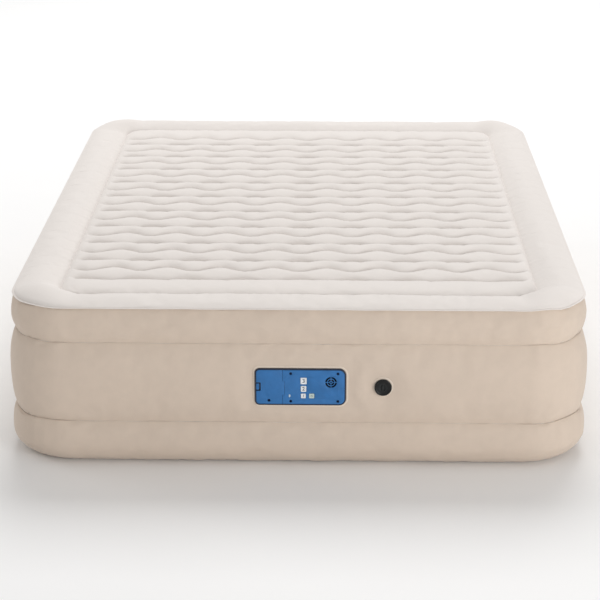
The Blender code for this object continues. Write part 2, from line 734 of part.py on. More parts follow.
def door_latch():
    left = PUMP_X - FLANGE_WIDTH / 2 + RIM_WIDTH + 2 * PANEL_CLEARANCE
    tongue_low = (left, FRONT_Y, LATCH_Z - LATCH_HALF)
    tongue_high = (LATCH_X, PANEL_BACK_Y, LATCH_Z + LATCH_HALF)
    origin = ((left + LATCH_X) / 2, PANEL_BACK_Y, LATCH_Z)
    made = box("door_latch", tongue_low, tongue_high, "blue_plastic", origin)
    nose_low = (left - LATCH_NOSE, FRONT_Y + LATCH_NOSE + GAP / 3, LATCH_Z - LATCH_NOSE_HALF)
    nose_high = (left + LATCH_NOSE, PANEL_BACK_Y - GAP, LATCH_Z + LATCH_NOSE_HALF)
    boolean(made, box("latch_nose", nose_low, nose_high), "UNION")
    plate_half = LATCH_SLOT_HALF + LATCH_PLATE_MARGIN
    plate_front = PANEL_BACK_Y + GAP
    plate_low = (LATCH_X - 0.0026, plate_front, LATCH_Z - plate_half)
    plate_high = (LATCH_SLOT_X + 0.005, plate_front + LATCH_PLATE_THICKNESS, LATCH_Z + plate_half)
    boolean(made, box("latch_plate", plate_low, plate_high), "UNION")
    stem_low = (LATCH_X - 0.0020, PANEL_BACK_Y - 0.001, LATCH_Z - LATCH_NOSE_HALF)
    stem_high = (LATCH_X - 0.0004, PANEL_BACK_Y + 0.001, LATCH_Z + LATCH_NOSE_HALF)
    boolean(made, box("latch_stem", stem_low, stem_high), "UNION")


def hinge_pin():
    ring = circle(HINGE[0], HINGE[1], PIN_RADIUS, SMALL_ROUND_STEPS)
    ends = (-PIN_HALF_LENGTH, PIN_HALF_LENGTH)
    loft("hinge_pin", [[(x, y, HINGE[2] + z) for x, y in ring] for z in ends], "bright_steel", HINGE)


def cord_tray():
    low, high = TRAY
    outer = rectangle((low[0], low[2]), (high[0], high[2]))
    inner = rectangle((low[0] + TRAY_WALL, low[2] + TRAY_WALL), (high[0] - TRAY_WALL, high[2] - TRAY_WALL))
    rings = [at_y(inner, high[1] - TRAY_WALL), at_y(inner, low[1]), at_y(outer, low[1]), at_y(outer, high[1])]
    made = loft("cord_tray", rings, "dark_plastic")
    hole = circle(GLAND_X, GLAND_Z, GLAND_HOLE_RADIUS, SMALL_ROUND_STEPS)
    boolean(made, prism("gland_hole", hole, high[1] - 3 * TRAY_WALL, high[1] + TRAY_WALL))


def cord_gland():
    wall_front = TRAY[1][1] - TRAY_WALL - GAP
    profile = [
        (GLAND_BORE_RADIUS, wall_front - 0.0025),
        (GLAND_BORE_RADIUS, wall_front + 0.010),
        (GLAND_NECK_RADIUS, wall_front + 0.010),
        (GLAND_NECK_RADIUS, wall_front),
        (GLAND_FLANGE_RADIUS, wall_front),
        (GLAND_FLANGE_RADIUS - 0.0006, wall_front - 0.0025),
    ]
    turned("cord_gland", GLAND_X, GLAND_Z, profile, "black_rubber", steps=SMALL_ROUND_STEPS, ring_closed=True)


def screw(name, x, z, seat_y):
    """A pan-head screw whose head rests on the surface at seat_y."""
    head_back = seat_y - GAP
    profile = [
        (SCREW_HEAD_RADIUS * 0.8, head_back - SCREW_HEAD_THICKNESS),
        (SCREW_HEAD_RADIUS, head_back - SCREW_HEAD_THICKNESS / 2),
        (SCREW_HEAD_RADIUS, head_back),
        (SCREW_SHANK_RADIUS, head_back),
        (SCREW_SHANK_RADIUS, head_back + SCREW_LENGTH),
    ]
    turned(name, x, z, profile, "screw_steel", steps=SMALL_ROUND_STEPS)


def screws():
    for number, (x, z) in enumerate(PANEL_SCREWS, start=1):
        screw(f"panel_screw_{number}", x, z, FRONT_Y + SCREW_COUNTERBORE)
    screw("door_frame_screw", *DOOR_SCREW, POCKET_FLOOR_Y)


def buttons():
    for name, x, z, width, height in BUTTONS:
        front = FRONT_Y - BUTTON_PROUD
        steps = [
            (-0.0006, front),
            (0, front + 0.0004),
            (0, PANEL_BACK_Y + GAP),
            (BUTTON_GAP + BUTTON_COLLAR, PANEL_BACK_Y + GAP),
            (BUTTON_GAP + BUTTON_COLLAR, PANEL_BACK_Y + GAP + BUTTON_COLLAR),
            (-BUTTON_COLLAR, front + BUTTON_LENGTH),
        ]
        rings = []
        for grow, y in steps:
            ring = rounded_rectangle(x, z, width + 2 * grow, height + 2 * grow, 0.0016, 0.0016, 2)
            rings.append(at_y(ring, y))
        loft(name, rings, "button_plastic", (x, FRONT_Y, z))


def led_lens():
    outline = rounded_rectangle(*LED, 0.0019, 0.0019, 3)
    prism("led_lens", outline, FRONT_Y - GAP, PANEL_BACK_Y + 0.003, "light_lens")


def control_board():
    box("control_board", *BOARD, "circuit_board")


def volute_outline(wall):
    """The snail's outline: a round casing that runs out into a straight chute."""
    radius = VOLUTE_RADIUS - wall
    top = CHUTE_TOP_Z - wall
    meets = math.pi + math.asin((VENT_Z - top) / radius)
    points = arc(VENT_X, VENT_Z, radius, -math.pi / 2, meets, 28)
    return points + [(CHUTE_END_X + wall, top), (CHUTE_END_X + wall, VENT_Z - radius)]


def volute():
    made = prism("volute", volute_outline(0), VOLUTE_FRONT_Y, VOLUTE_BACK_Y, "dark_plastic")
    hollow_front, hollow_back = VOLUTE_FRONT_Y + VOLUTE_WALL, VOLUTE_BACK_Y - VOLUTE_WALL
    boolean(made, prism("volute_hollow", volute_outline(VOLUTE_WALL), hollow_front, hollow_back))
    eye = circle(VENT_X, VENT_Z, EYE_RADIUS)
    boolean(made, prism("volute_eye", eye, VOLUTE_FRONT_Y - VOLUTE_WALL, hollow_front + VOLUTE_WALL))
    shaft = circle(VENT_X, VENT_Z, SHAFT_HOLE_RADIUS, SMALL_ROUND_STEPS)
    boolean(made, prism("volute_shaft_hole", shaft, hollow_back - VOLUTE_WALL, VOLUTE_BACK_Y + VOLUTE_WALL))
    outlet = circle(OUTLET_X, OUTLET_Z, DUCT_BORE_RADIUS)
    boolean(made, prism("volute_outlet", outlet, hollow_back - VOLUTE_WALL, VOLUTE_BACK_Y + VOLUTE_WALL))


def blade_outline():
    """The hub with swept blades round it, as one outline."""
    outline = []
    reach = IMPELLER_RADIUS - 0.0005 - HUB_RADIUS
    for number in range(BLADE_COUNT):
        start = 2 * math.pi * number / BLADE_COUNT
        near, far = [], []
        for step in range(5):
            radius = HUB_RADIUS + reach * step / 4
            middle = start - BLADE_SWEEP * (step / 4) ** 1.3
            half = BLADE_THICKNESS / 2 / radius
            near.append((radius, middle - half))
            far.append((radius, middle + half))
        outline += near + far[::-1]
    return [(VENT_X + r * math.cos(a), VENT_Z + r * math.sin(a)) for r, a in outline]


def impeller():
    back = VOLUTE_BACK_Y - VOLUTE_WALL - 0.0015
    disc_thickness = 0.0015
    origin = (VENT_X, back, VENT_Z)
    disc = [(IMPELLER_RADIUS, back - disc_thickness), (IMPELLER_RADIUS, back)]
    made = turned("impeller", VENT_X, VENT_Z, disc, "dark_plastic", origin)
    front = VOLUTE_FRONT_Y + VOLUTE_WALL + 0.002
    boolean(made, prism("impeller_blades", blade_outline(), front, back - disc_thickness / 2), "UNION")
    bore = circle(VENT_X, VENT_Z, SHAFT_RADIUS + SHAFT_CLEARANCE, SMALL_ROUND_STEPS)
    boolean(made, prism("impeller_bore", bore, front - 0.002, back + 0.002))


def motor_and_shaft():
    bore = SHAFT_RADIUS + SHAFT_CLEARANCE
    bore_end = MOTOR_FRONT_Y + 0.012
    profile = [
        (bore, bore_end),
        (bore, MOTOR_FRONT_Y),
        (MOTOR_RADIUS - 0.001, MOTOR_FRONT_Y),
        (MOTOR_RADIUS, MOTOR_FRONT_Y + 0.001),
        (MOTOR_RADIUS, MOTOR_BACK_Y - 0.001),
        (MOTOR_RADIUS - 0.001, MOTOR_BACK_Y),
    ]
    turned("motor", VENT_X, VENT_Z, profile, "bright_steel")
    front = VOLUTE_FRONT_Y + VOLUTE_WALL + 0.0015
    shaft = [(SHAFT_RADIUS, front), (SHAFT_RADIUS, bore_end - GAP)]
    turned("motor_shaft", VENT_X, VENT_Z, shaft, "bright_steel", (VENT_X, front, VENT_Z), SMALL_ROUND_STEPS)


def outlet_valve():
    duct = [
        (DUCT_BORE_RADIUS, VOLUTE_BACK_Y + GAP),
        (DUCT_BORE_RADIUS, DUCT_END_Y),
        (DUCT_RADIUS, DUCT_END_Y),
        (DUCT_RADIUS, VOLUTE_BACK_Y + GAP),
    ]
    turned("outlet_duct", OUTLET_X, OUTLET_Z, duct, "dark_plastic", ring_closed=True)
    disc_front = DUCT_END_Y + GAP
    disc_back = disc_front + OUTLET_DISC_THICKNESS
    disc = [
        (OUTLET_DISC_RADIUS, disc_front),
        (OUTLET_DISC_RADIUS, disc_back),
        (0.003, disc_back),
        (0.003, disc_back + 0.007),
    ]
    origin = (OUTLET_X, disc_front, OUTLET_Z)
    turned("outlet_valve_disc", OUTLET_X, OUTLET_Z, disc, "black_rubber", origin)
    inner = CAGE_RADIUS - CAGE_WALL
    cage = [
        (inner, CAGE_END_Y - CAGE_WALL),
        (inner, TUB_BACK_Y + GAP),
        (CAGE_RADIUS, TUB_BACK_Y + GAP),
        (CAGE_RADIUS, CAGE_END_Y),
    ]
    made = turned("outlet_valve_cage", OUTLET_X, OUTLET_Z, cage, "dark_plastic")
    vents = bmesh.new()
    for number in range(4):
        angle = (number + 0.5) * math.pi / 2
        x = OUTLET_X + CAGE_VENT_OFFSET * math.cos(angle)
        z = OUTLET_Z + CAGE_VENT_OFFSET * math.sin(angle)
        vent = circle(x, z, CAGE_VENT_RADIUS, SMALL_ROUND_STEPS)
        loft_into(vents, [at_y(vent, CAGE_END_Y - 3 * CAGE_WALL), at_y(vent, CAGE_END_Y + CAGE_WALL)])
    boolean(made, add("cage_vents", vents))
    outlet_spring(disc_back + GAP, CAGE_END_Y - CAGE_WALL - GAP)


def outlet_spring(front_y, back_y):
    """A square-wire coil spring along Y."""
    steps = SPRING_TURNS * 10
    half = SPRING_WIRE / 2
    rings = []
    for step in range(steps + 1):
        angle = 2 * math.pi * SPRING_TURNS * step / steps
        y = front_y + half + (back_y - front_y - SPRING_WIRE) * step / steps
        ring = []
        for grow, along in ((-half, -half), (half, -half), (half, half), (-half, half)):
            radius = SPRING_RADIUS + grow
            ring.append((OUTLET_X + radius * math.cos(angle), y + along, OUTLET_Z + radius * math.sin(angle)))
        rings.append(ring)
    loft("outlet_valve_spring", rings, "bright_steel")


# Inflation valve


def inflation_valve():
    flange_back = PATCH_Y - GAP
    flange_front = flange_back - VALVE_FLANGE_THICKNESS
    socket = [
        (VALVE_BORE_RADIUS, flange_front),
        (VALVE_BORE_RADIUS, VALVE_NECK_END_Y),
        (VALVE_NECK_RADIUS, VALVE_NECK_END_Y),
        (VALVE_NECK_RADIUS, flange_back),
        (VALVE_FLANGE_RADIUS, flange_back),
        (VALVE_FLANGE_RADIUS, flange_front),
    ]
    turned("valve_socket", VALVE_X, VALVE_Z, socket, "valve_plastic", ring_closed=True)
    seal_back = flange_front - GAP
    seal_front = seal_back - SEAL_THICKNESS
    seal = [
        (VALVE_BORE_RADIUS + GAP, seal_front),
        (VALVE_BORE_RADIUS + GAP, seal_back),
        (VALVE_FLANGE_RADIUS - 0.002, seal_back),
        (VALVE_FLANGE_RADIUS - 0.002, seal_front),
    ]
    axis_point = (VALVE_X, seal_front, VALVE_Z)
    turned("valve_seal", VALVE_X, VALVE_Z, seal, "black_rubber", axis_point, ring_closed=True)
    cap_back = seal_front - GAP
    cap = [
        (CAP_RADIUS - 0.0045, cap_back - 0.0030),
        (CAP_RADIUS - 0.0030, cap_back - 0.0048),
        (CAP_RADIUS - 0.0010, cap_back - 0.0048),
        (CAP_RADIUS, cap_back - 0.0038),
        (CAP_RADIUS, cap_back),
        (CAP_PLUG_RADIUS, cap_back),
        (CAP_PLUG_RADIUS, cap_back + CAP_PLUG_LENGTH),
    ]
    made = turned("valve_cap", VALVE_X, VALVE_Z, cap, "valve_plastic", axis_point)
    bar_low = (VALVE_X - 0.0032, cap_back - 0.0050, VALVE_Z - 0.0165)
    bar_high = (VALVE_X + 0.0032, cap_back - 0.0020, VALVE_Z + 0.0165)
    boolean(made, box("cap_grip", bar_low, bar_high), "UNION")


def check_flap():
    """The flap on the socket's inner end, which swings into the chamber."""
    front = VALVE_NECK_END_Y + GAP
    tab = 0.004
    outline = arc(VALVE_X, VALVE_Z, FLAP_RADIUS, math.radians(112), math.radians(428), 18)
    top = VALVE_Z + FLAP_HINGE_RISE + 0.001
    outline += [(VALVE_X + tab, top), (VALVE_X - tab, top)]
    origin = (VALVE_X, front + FLAP_THICKNESS / 2, VALVE_Z + FLAP_HINGE_RISE)
    prism("check_flap", outline, front, front + FLAP_THICKNESS, "black_rubber", origin)


def main():
    clear_scene()
    bottom_sheet()
    lower_side_band()
    middle_side_band()
    front_side_panel()
    upper_side_band()
    top_sheet()
    divider_sheet("lower_divider_sheet", LOWER_CREASE_INSET, LOWER_CREASE)
    divider_sheet("upper_divider_sheet", UPPER_CREASE_INSET, UPPER_CREASE)
    top_beams()
    core_beams()
    pump_housing()
    control_panel()
    cord_door()
    door_latch()
    hinge_pin()
    cord_tray()
    cord_gland()
    screws()
    buttons()
    led_lens()
    control_board()
    volute()
    impeller()
    motor_and_shaft()
    outlet_valve()
    inflation_valve()
    check_flap()


main()
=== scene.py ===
import json
import math

import bmesh
import bpy
import numpy as np
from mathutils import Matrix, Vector


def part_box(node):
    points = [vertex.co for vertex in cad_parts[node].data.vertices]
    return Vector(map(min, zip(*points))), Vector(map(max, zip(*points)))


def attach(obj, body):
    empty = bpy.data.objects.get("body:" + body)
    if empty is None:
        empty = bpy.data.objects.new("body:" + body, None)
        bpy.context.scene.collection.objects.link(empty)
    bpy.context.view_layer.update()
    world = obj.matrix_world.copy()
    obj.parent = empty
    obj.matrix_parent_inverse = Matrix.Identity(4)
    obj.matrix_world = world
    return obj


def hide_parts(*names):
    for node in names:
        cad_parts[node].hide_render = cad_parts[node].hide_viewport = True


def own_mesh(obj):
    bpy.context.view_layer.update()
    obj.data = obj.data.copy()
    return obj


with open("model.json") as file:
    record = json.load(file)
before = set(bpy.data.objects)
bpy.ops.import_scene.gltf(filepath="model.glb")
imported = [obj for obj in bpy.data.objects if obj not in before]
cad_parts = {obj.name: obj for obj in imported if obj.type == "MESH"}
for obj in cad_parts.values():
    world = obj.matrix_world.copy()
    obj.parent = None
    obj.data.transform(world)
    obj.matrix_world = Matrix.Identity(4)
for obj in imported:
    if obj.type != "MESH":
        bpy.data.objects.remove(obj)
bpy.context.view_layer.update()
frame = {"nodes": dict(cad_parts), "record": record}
QUARTER = math.pi / 2

# Envelope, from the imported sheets
HALF_X = max(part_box("lower_side_band")[1].x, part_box("middle_side_band")[1].x)
HALF_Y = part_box("middle_side_band")[1].y
LOWER_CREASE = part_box("middle_side_band")[0].z
UPPER_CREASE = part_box("upper_side_band")[0].z
RIM_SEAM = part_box("upper_side_band")[1].z
RIM_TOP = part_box("top_sheet")[1].z
PATCH_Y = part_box("middle_side_band")[0].y
CORNER_RADIUS = 0.165
RADIUS_LOSS = 0.8  # share of an inset that comes off the corner radius
SHEET = 0.0006
LOWER_CREASE_INSET = 0.011
UPPER_CREASE_INSET = 0.0165
RIM_SEAM_INSET = 0.0185
LOWER_BULGE_INSET = 0.0005
UPPER_BULGE_INSET = 0.009
BOTTOM_ROLL = 0.060

# Rim and pillow field of the top
CORNER_LIFT = 0.0135
RIM_CREST = RIM_TOP - CORNER_LIFT
RIM_CREST_INSET = 0.075
FIELD_INSET = 0.134
FIELD_EDGE = 0.4265
GROOVE_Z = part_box("straight_beam_01")[1].z + 0.0021
PILLOW_Z = 0.4400
EDGE_RISE = 0.060  # how far in from the seam the field reaches its full height
LIP_WIDTH = 0.0078  # how far the welded edge of the top stands out past the seam
WELD_HALF = 0.0022
WAVE_LENGTH = 0.143
WAVE_HEIGHT = 0.0185
COUNTER_WAVE = 0.0015
WAVY_FADE = (0.004, 0.034)
STRAIGHT_FADE = (0.008, 0.044)
DIP_POWERS = (2.2, 0.62)
FOLD_HEIGHT = 0.0016  # of the folds in the underside

# Cloth
SIM_FRAMES = 14
MAX_SETTLE = 0.0022  # the most that the cloth may move a point


# Small mesh helpers


def smoothstep(value):
    value = np.clip(value, 0, 1)
    return value * value * (3 - 2 * value)


def make(name, points, faces, material=None, sharp=math.radians(40)):
    mesh = bpy.data.meshes.new(name)
    mesh.from_pydata([tuple(map(float, p)) for p in points], [], [tuple(map(int, f)) for f in faces])
    made = bpy.data.objects.new(name, mesh)
    bpy.context.scene.collection.objects.link(made)
    if material:
        mesh.materials.append(material)
    mesh.shade_smooth()
    mesh.set_sharp_from_angle(angle=sharp)
    return made


def apply_modifiers(made, sharp=math.radians(40)):
    graph = bpy.context.evaluated_depsgraph_get()
    mesh = bpy.data.meshes.new_from_object(made.evaluated_get(graph))
    made.modifiers.clear()
    made.data = mesh
    mesh.shade_smooth()
    mesh.set_sharp_from_angle(angle=sharp)
    return made


def solidify(made, thickness=SHEET):
    step = made.modifiers.new("Thickness", "SOLIDIFY")
    step.thickness = thickness
    step.offset = -1
    return apply_modifiers(made, math.radians(60))


def settle(made, pins, pressure, slack):
    """Blows up an open sheet that is welded down at its pins, and keeps the wrinkles that form."""
    mesh = made.data
    start = np.empty(3 * len(mesh.vertices))
    mesh.vertices.foreach_get("co", start)
    made.vertex_groups.new(name="welds").add([int(i) for i in pins], 1.0, "REPLACE")
    step = made.modifiers.new("Cloth", "CLOTH")
    cloth = step.settings
    cloth.quality = 4
    cloth.mass = 0.15
    cloth.tension_stiffness = 30
    cloth.compression_stiffness = 30
    cloth.shear_stiffness = 8
    cloth.bending_stiffness = 0.3
    cloth.air_damping = 3
    cloth.use_pressure = True
    cloth.uniform_pressure_force = pressure
    cloth.shrink_min = -slack
    cloth.vertex_group_mass = "welds"
    cloth.effector_weights.gravity = 0
    step.point_cache.frame_start = 1
    step.point_cache.frame_end = SIM_FRAMES
    for number in range(1, SIM_FRAMES + 1):
        bpy.context.scene.frame_set(number)
    graph = bpy.context.evaluated_depsgraph_get()
    end = np.empty_like(start)
    made.evaluated_get(graph).data.vertices.foreach_get("co", end)
    move = (end - start).reshape(-1, 3)
    length = np.linalg.norm(move, axis=1, keepdims=True)
    move *= MAX_SETTLE * np.tanh(length / MAX_SETTLE) / np.maximum(length, 1e-9)
    made.modifiers.clear()
    made.vertex_groups.clear()
    mesh.vertices.foreach_set("co", (start.reshape(-1, 3) + move).ravel())
    mesh.update()
    bpy.context.scene.frame_set(1)


def bevel(made, width, segments=2, angle=math.radians(35)):
    step = made.modifiers.new("Edge", "BEVEL")
    step.width = width
    step.segments = segments
    step.limit_method = "ANGLE"
    step.angle_limit = angle
    step.use_clamp_overlap = True
    return apply_modifiers(made)


def cut(made, other, operation="DIFFERENCE"):
    """Booleans other into made, and removes other."""
    step = made.modifiers.new("Cut", "BOOLEAN")
    step.operation = operation
    step.solver = "EXACT"
    step.object = other
    apply_modifiers(made)
    bpy.data.objects.remove(other, do_unlink=True)
    return made


def loft_faces(ring_size, ring_count, closed=False):
    faces = []
    for row in range(ring_count if closed else ring_count - 1):
        here, there = row * ring_size, (row + 1) % ring_count * ring_size
        for i in range(ring_size):
            j = (i + 1) % ring_size
            faces.append((here + i, here + j, there + j, there + i))
    if not closed:
        faces.append(tuple(range(ring_size))[::-1])
        faces.append(tuple(range((ring_count - 1) * ring_size, ring_count * ring_size)))
    return faces


def loft(name, rings, material=None, closed=False):
    """A closed skin through rings of equally many points."""
    points = [p for ring in rings for p in ring]
    made = make(name, points, loft_faces(len(rings[0]), len(rings), closed), material)
    work = bmesh.new()
    work.from_mesh(made.data)
    bmesh.ops.recalc_face_normals(work, faces=work.faces)
    work.to_mesh(made.data)
    work.free()
    return made


def at_y(outline, y):
    return [(x, y, z) for x, z in outline]


def at_z(outline, z):
    return [(x, y, z) for x, y in outline]


def prism(name, outline, front_y, back_y, material=None):
    return loft(name, [at_y(outline, front_y), at_y(outline, back_y)], material)


def punch(made, outline, front_y, back_y, operation="DIFFERENCE"):
    """Cuts an outline out of made along Y, or joins it on."""
    return cut(made, prism("cutter", outline, front_y, back_y), operation)


def arc(x, z, radius, start, end, steps):
    angles = [start + (end - start) * i / steps for i in range(steps + 1)]
    return [(x + radius * math.cos(a), z + radius * math.sin(a)) for a in angles]


def circle(x, z, radius, steps=64):
    return arc(x, z, radius, 0, 2 * math.pi, steps)[:-1]


def rounded(low_x, low_z, high_x, high_z, left_radius, right_radius=None, steps=10):
    """A rounded rectangle's outline between two corners."""
    right_radius = left_radius if right_radius is None else right_radius
    points = arc(high_x - right_radius, low_z + right_radius, right_radius, -QUARTER, 0, steps)
    points += arc(high_x - right_radius, high_z - right_radius, right_radius, 0, QUARTER, steps)
    points += arc(low_x + left_radius, high_z - left_radius, left_radius, QUARTER, 2 * QUARTER, steps)
    points += arc(low_x + left_radius, low_z + left_radius, left_radius, 2 * QUARTER, 3 * QUARTER, steps)
    return points


def rounded_about(x, z, half_x, half_z, radius, steps=10):
    return rounded(x - half_x, z - half_z, x + half_x, z + half_z, radius, steps=steps)


def rounded_inside(low, high, margin, *radii):
    """A rounded outline this far inside the front view of a box."""
    return rounded(low.x + margin, low.z + margin, high.x - margin, high.z - margin, *radii)


def block(name, low, high, material=None):
    outline = [(low[0], low[2]), (high[0], low[2]), (high[0], high[2]), (low[0], high[2])]
    return prism(name, outline, low[1], high[1], material)


def turned(name, x, z, profile, material=None, steps=64, closed=False):
    """A round piece about an axis along Y, from its (radius, y) profile."""
    return loft(name, [at_y(circle(x, z, r, steps), y) for r, y in profile], material, closed)


def place(made, body, slot, *nodes, fill=None):
    """Puts a piece on its body, and hides the CAD nodes that it stands for. Whether it is soft (fill) is not
    used.
    """
    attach(made, body)
    if nodes:
        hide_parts(*nodes)


def extent(name):
    """Low corner, high corner and middle of a CAD node."""
    low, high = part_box(name)
    return low, high, (low + high) / 2


def middle_of(name):
    return extent(name)[2]


# Materials


class Surface:
    """A Principled material whose colour, roughness and bump come from noise over the object's own space."""

    def __init__(self, name, roughness, metallic=0.0, **constants):
        self.material = bpy.data.materials.new(name)
        self.material.use_nodes = True
        self.tree = self.material.node_tree
        self.shader = self.tree.nodes["Principled BSDF"]
        self.shader.inputs["Metallic"].default_value = metallic
        self.shader.inputs["Roughness"].default_value = roughness
        for socket, value in constants.items():
            self.shader.inputs[socket.replace("_", " ")].default_value = value
        self.place = self.tree.nodes.new("ShaderNodeTexCoord").outputs["Object"]

    def link(self, source, target):
        self.tree.links.new(source, target)

    def node(self, kind, **inputs):
        """Adds a node, and sets or links its inputs."""
        made = self.tree.nodes.new(f"ShaderNode{kind}")
        for socket, value in inputs.items():
            target = made.inputs[socket.replace("_", " ")]
            if isinstance(value, bpy.types.NodeSocket):
                self.link(value, target)
            else:
                target.default_value = value
        return made

    def mapped(self, stretch):
        return self.node("Mapping", Vector=self.place, Scale=stretch).outputs["Vector"]

    def noise(self, scale, detail=3.0, stretch=(1, 1, 1)):
        return self.node("TexNoise", Vector=self.mapped(stretch), Scale=scale, Detail=detail).outputs["Fac"]

    def spread(self, value, low, high, source=(0.35, 0.65)):
        """Maps a noise's usual range onto low..high."""
        first, last = source
        made = self.node("MapRange", Value=value, From_Min=first, From_Max=last, To_Min=low, To_Max=high)
        return made.outputs["Result"]

    def mix(self, share, first, second):
        made = self.tree.nodes.new("ShaderNodeMix")
        made.data_type = "RGBA"
        self.link(share, made.inputs["Factor"])
        for socket, colour in (("A", first), ("B", second)):
            target = next(s for s in made.inputs if s.name == socket and s.type == "RGBA")
            if isinstance(colour, tuple):
                target.default_value = (*colour, 1.0)
            else:
                self.link(colour, target)
        return next(s for s in made.outputs if s.type == "RGBA")

    def colour(self, source):
        self.link(source, self.shader.inputs["Base Color"])

    def clouded(self, share, colour, low, high):
        """Varies the colour's brightness between two factors."""
        self.colour(self.mix(share, scaled(colour, low), scaled(colour, high)))

    def roughness(self, source):
        self.link(source, self.shader.inputs["Roughness"])

    def bump(self, *layers):
        """Stacks (height socket, strength, distance) bumps."""
        normal = None
        for height, strength, distance in layers:
            made = self.node("Bump", Height=height, Strength=strength, Distance=distance)
            if normal:
                self.link(normal, made.inputs["Normal"])
            normal = made.outputs["Normal"]
        self.link(normal, self.shader.inputs["Normal"])


def scaled(colour, factor):
    return tuple(min(1.0, c * factor) for c in colour)


def flocked(name, colour, cloudy=0.03):
    """Vinyl with a short velvet nap: cloudy where it is brushed, with a fine grain."""
    made = Surface(name, 0.9, Sheen_Weight=0.18, Sheen_Roughness=0.45, Specular_IOR_Level=0.25)
    clouds = made.spread(made.noise(5.0, 4.0), 0, 1)
    nap = made.spread(made.noise(38.0, 5.0), 0, 1)
    grain = made.noise(1400.0, 2.0)
    brushed = made.mix(clouds, scaled(colour, 1 - cloudy), scaled(colour, 1 + cloudy))
    napped = made.mix(nap, scaled(colour, 1 - cloudy), scaled(colour, 1 + cloudy))
    share = made.spread(grain, 0.35, 0.65)
    made.colour(made.mix(share, brushed, napped))
    made.roughness(made.spread(nap, 0.86, 0.96, (0, 1)))
    made.bump((made.noise(26.0, 3.0), 0.20, 0.004), (grain, 0.30, 0.0004))
    return made.material


def vinyl(name, colour, roughness=0.42):
    made = Surface(name, roughness, Specular_IOR_Level=0.45)
    made.clouded(made.spread(made.noise(9.0, 4.0), 0, 1), colour, 0.94, 1.04)
    made.roughness(made.spread(made.noise(60.0, 4.0), roughness - 0.06, roughness + 0.10))
    made.bump((made.noise(18.0, 4.0), 0.25, 0.003), (made.noise(900.0, 2.0), 0.15, 0.0003))
    return made.material


def moulded(name, colour, roughness=0.42, grain=2600.0, specular=0.5, depth=0.00008):
    """Injection-moulded plastic with a spark-eroded grain and slight handling marks."""
    made = Surface(name, roughness, Specular_IOR_Level=specular)
    made.clouded(made.spread(made.noise(40.0, 4.0), 0, 1), colour, 0.93, 1.06)
    made.roughness(made.spread(made.noise(150.0, 5.0), roughness - 0.05, roughness + 0.09))
    made.bump((made.noise(grain, 2.0), 0.35, depth))
    return made.material


def metal(name, colour, roughness=0.3):
    made = Surface(name, roughness, 1.0)
    streaks = made.noise(300.0, 3.0, (1, 0.06, 1))
    made.clouded(made.spread(streaks, 0, 1), colour, 0.9, 1.08)
    made.roughness(made.spread(streaks, roughness - 0.06, roughness + 0.12))
    made.bump((streaks, 0.2, 0.0001))
    return made.material


def board_material():
    """A green circuit board with tracks and dark parts."""
    made = Surface("circuit_board_green", 0.4)
    cells = made.node("TexVoronoi", Vector=made.place, Scale=160.0)
    cells.distance = "MANHATTAN"
    tracks = made.spread(cells.outputs["Distance"], 0, 1, (0.50, 0.56))
    made.colour(made.mix(tracks, (0.016, 0.12, 0.05), (0.05, 0.24, 0.10)))
    made.roughness(made.spread(made.noise(200.0), 0.32, 0.5))
    made.bump((tracks, 0.3, 0.0002))
    return made.material


CAP_FACE = 0.0112  # radius of the face inside the cap's rim


def cap_material():
    """The cap's black plastic: a dark polished rim round a textured face that is painted lighter, a painted
    sheen.
    """
    made = Surface("valve_cap_black", 0.42, Specular_IOR_Level=0.35)
    middle = middle_of("valve_cap")
    distance = made.node("VectorMath")
    distance.operation = "DISTANCE"
    made.link(made.mapped((1, 0, 1)), distance.inputs[0])
    distance.inputs[1].default_value = (middle.x, 0, middle.z)
    rim = made.spread(distance.outputs["Value"], 0, 1, (CAP_FACE - 0.0006, CAP_FACE + 0.0006))
    clouds = made.spread(made.noise(300.0, 4.0), 0, 1)
    # painted sheen: the face inside the rim is painted lighter than the rim's black
    face = made.mix(clouds, (0.009, 0.010, 0.010), (0.016, 0.018, 0.018))
    made.colour(made.mix(rim, face, (0.004, 0.004, 0.004)))
    made.roughness(made.spread(rim, 0.52, 0.38, (0, 1)))
    made.bump((made.noise(1800.0, 2.0), 0.35, 0.00008))
    return made.material


TOP_WHITE = (0.790, 0.742, 0.706)
SIDE_BEIGE = (0.640, 0.535, 0.445)
MATERIALS = {
    "flocked_top": flocked("flocked_white", TOP_WHITE, 0.012),
    "flocked_side": flocked("flocked_beige", SIDE_BEIGE, 0.03),
    "base_vinyl": vinyl("base_vinyl_beige", scaled(SIDE_BEIGE, 0.85), 0.5),
    "inner_vinyl": vinyl("inner_vinyl_clear", (0.72, 0.72, 0.68)),
    "weld_lip": vinyl("weld_lip_vinyl", (0.72, 0.62, 0.52), 0.5),
    "navy_plastic": moulded("navy_plastic", (0.010, 0.016, 0.040)),
    "blue_plastic": moulded("blue_plastic", (0.030, 0.155, 0.400), 0.40, specular=0.35),
    "dark_plastic": moulded("dark_plastic", (0.020, 0.021, 0.023), 0.5),
    "button_plastic": moulded("button_white", (0.78, 0.80, 0.82), 0.38),
    "button_green": moulded("button_grey_green", (0.52, 0.62, 0.58), 0.38),
    "light_lens": moulded("light_lens_white", (0.52, 0.60, 0.66), 0.16),
    "valve_plastic": moulded("valve_black", (0.010, 0.011, 0.012), 0.46, 1800.0, 0.3),
    "valve_cap": cap_material(),
    "black_rubber": moulded("black_rubber", (0.014, 0.014, 0.015), 0.75, 1200.0, 0.3),
    "screw_steel": metal("screw_dark_steel", (0.016, 0.026, 0.062), 0.5),
    "bright_steel": metal("bright_steel", (0.30, 0.30, 0.31), 0.38),
    "circuit_board": board_material(),
    "numeral": moulded("numeral_ink", (0.05, 0.07, 0.10), 0.5),
}


# Envelope


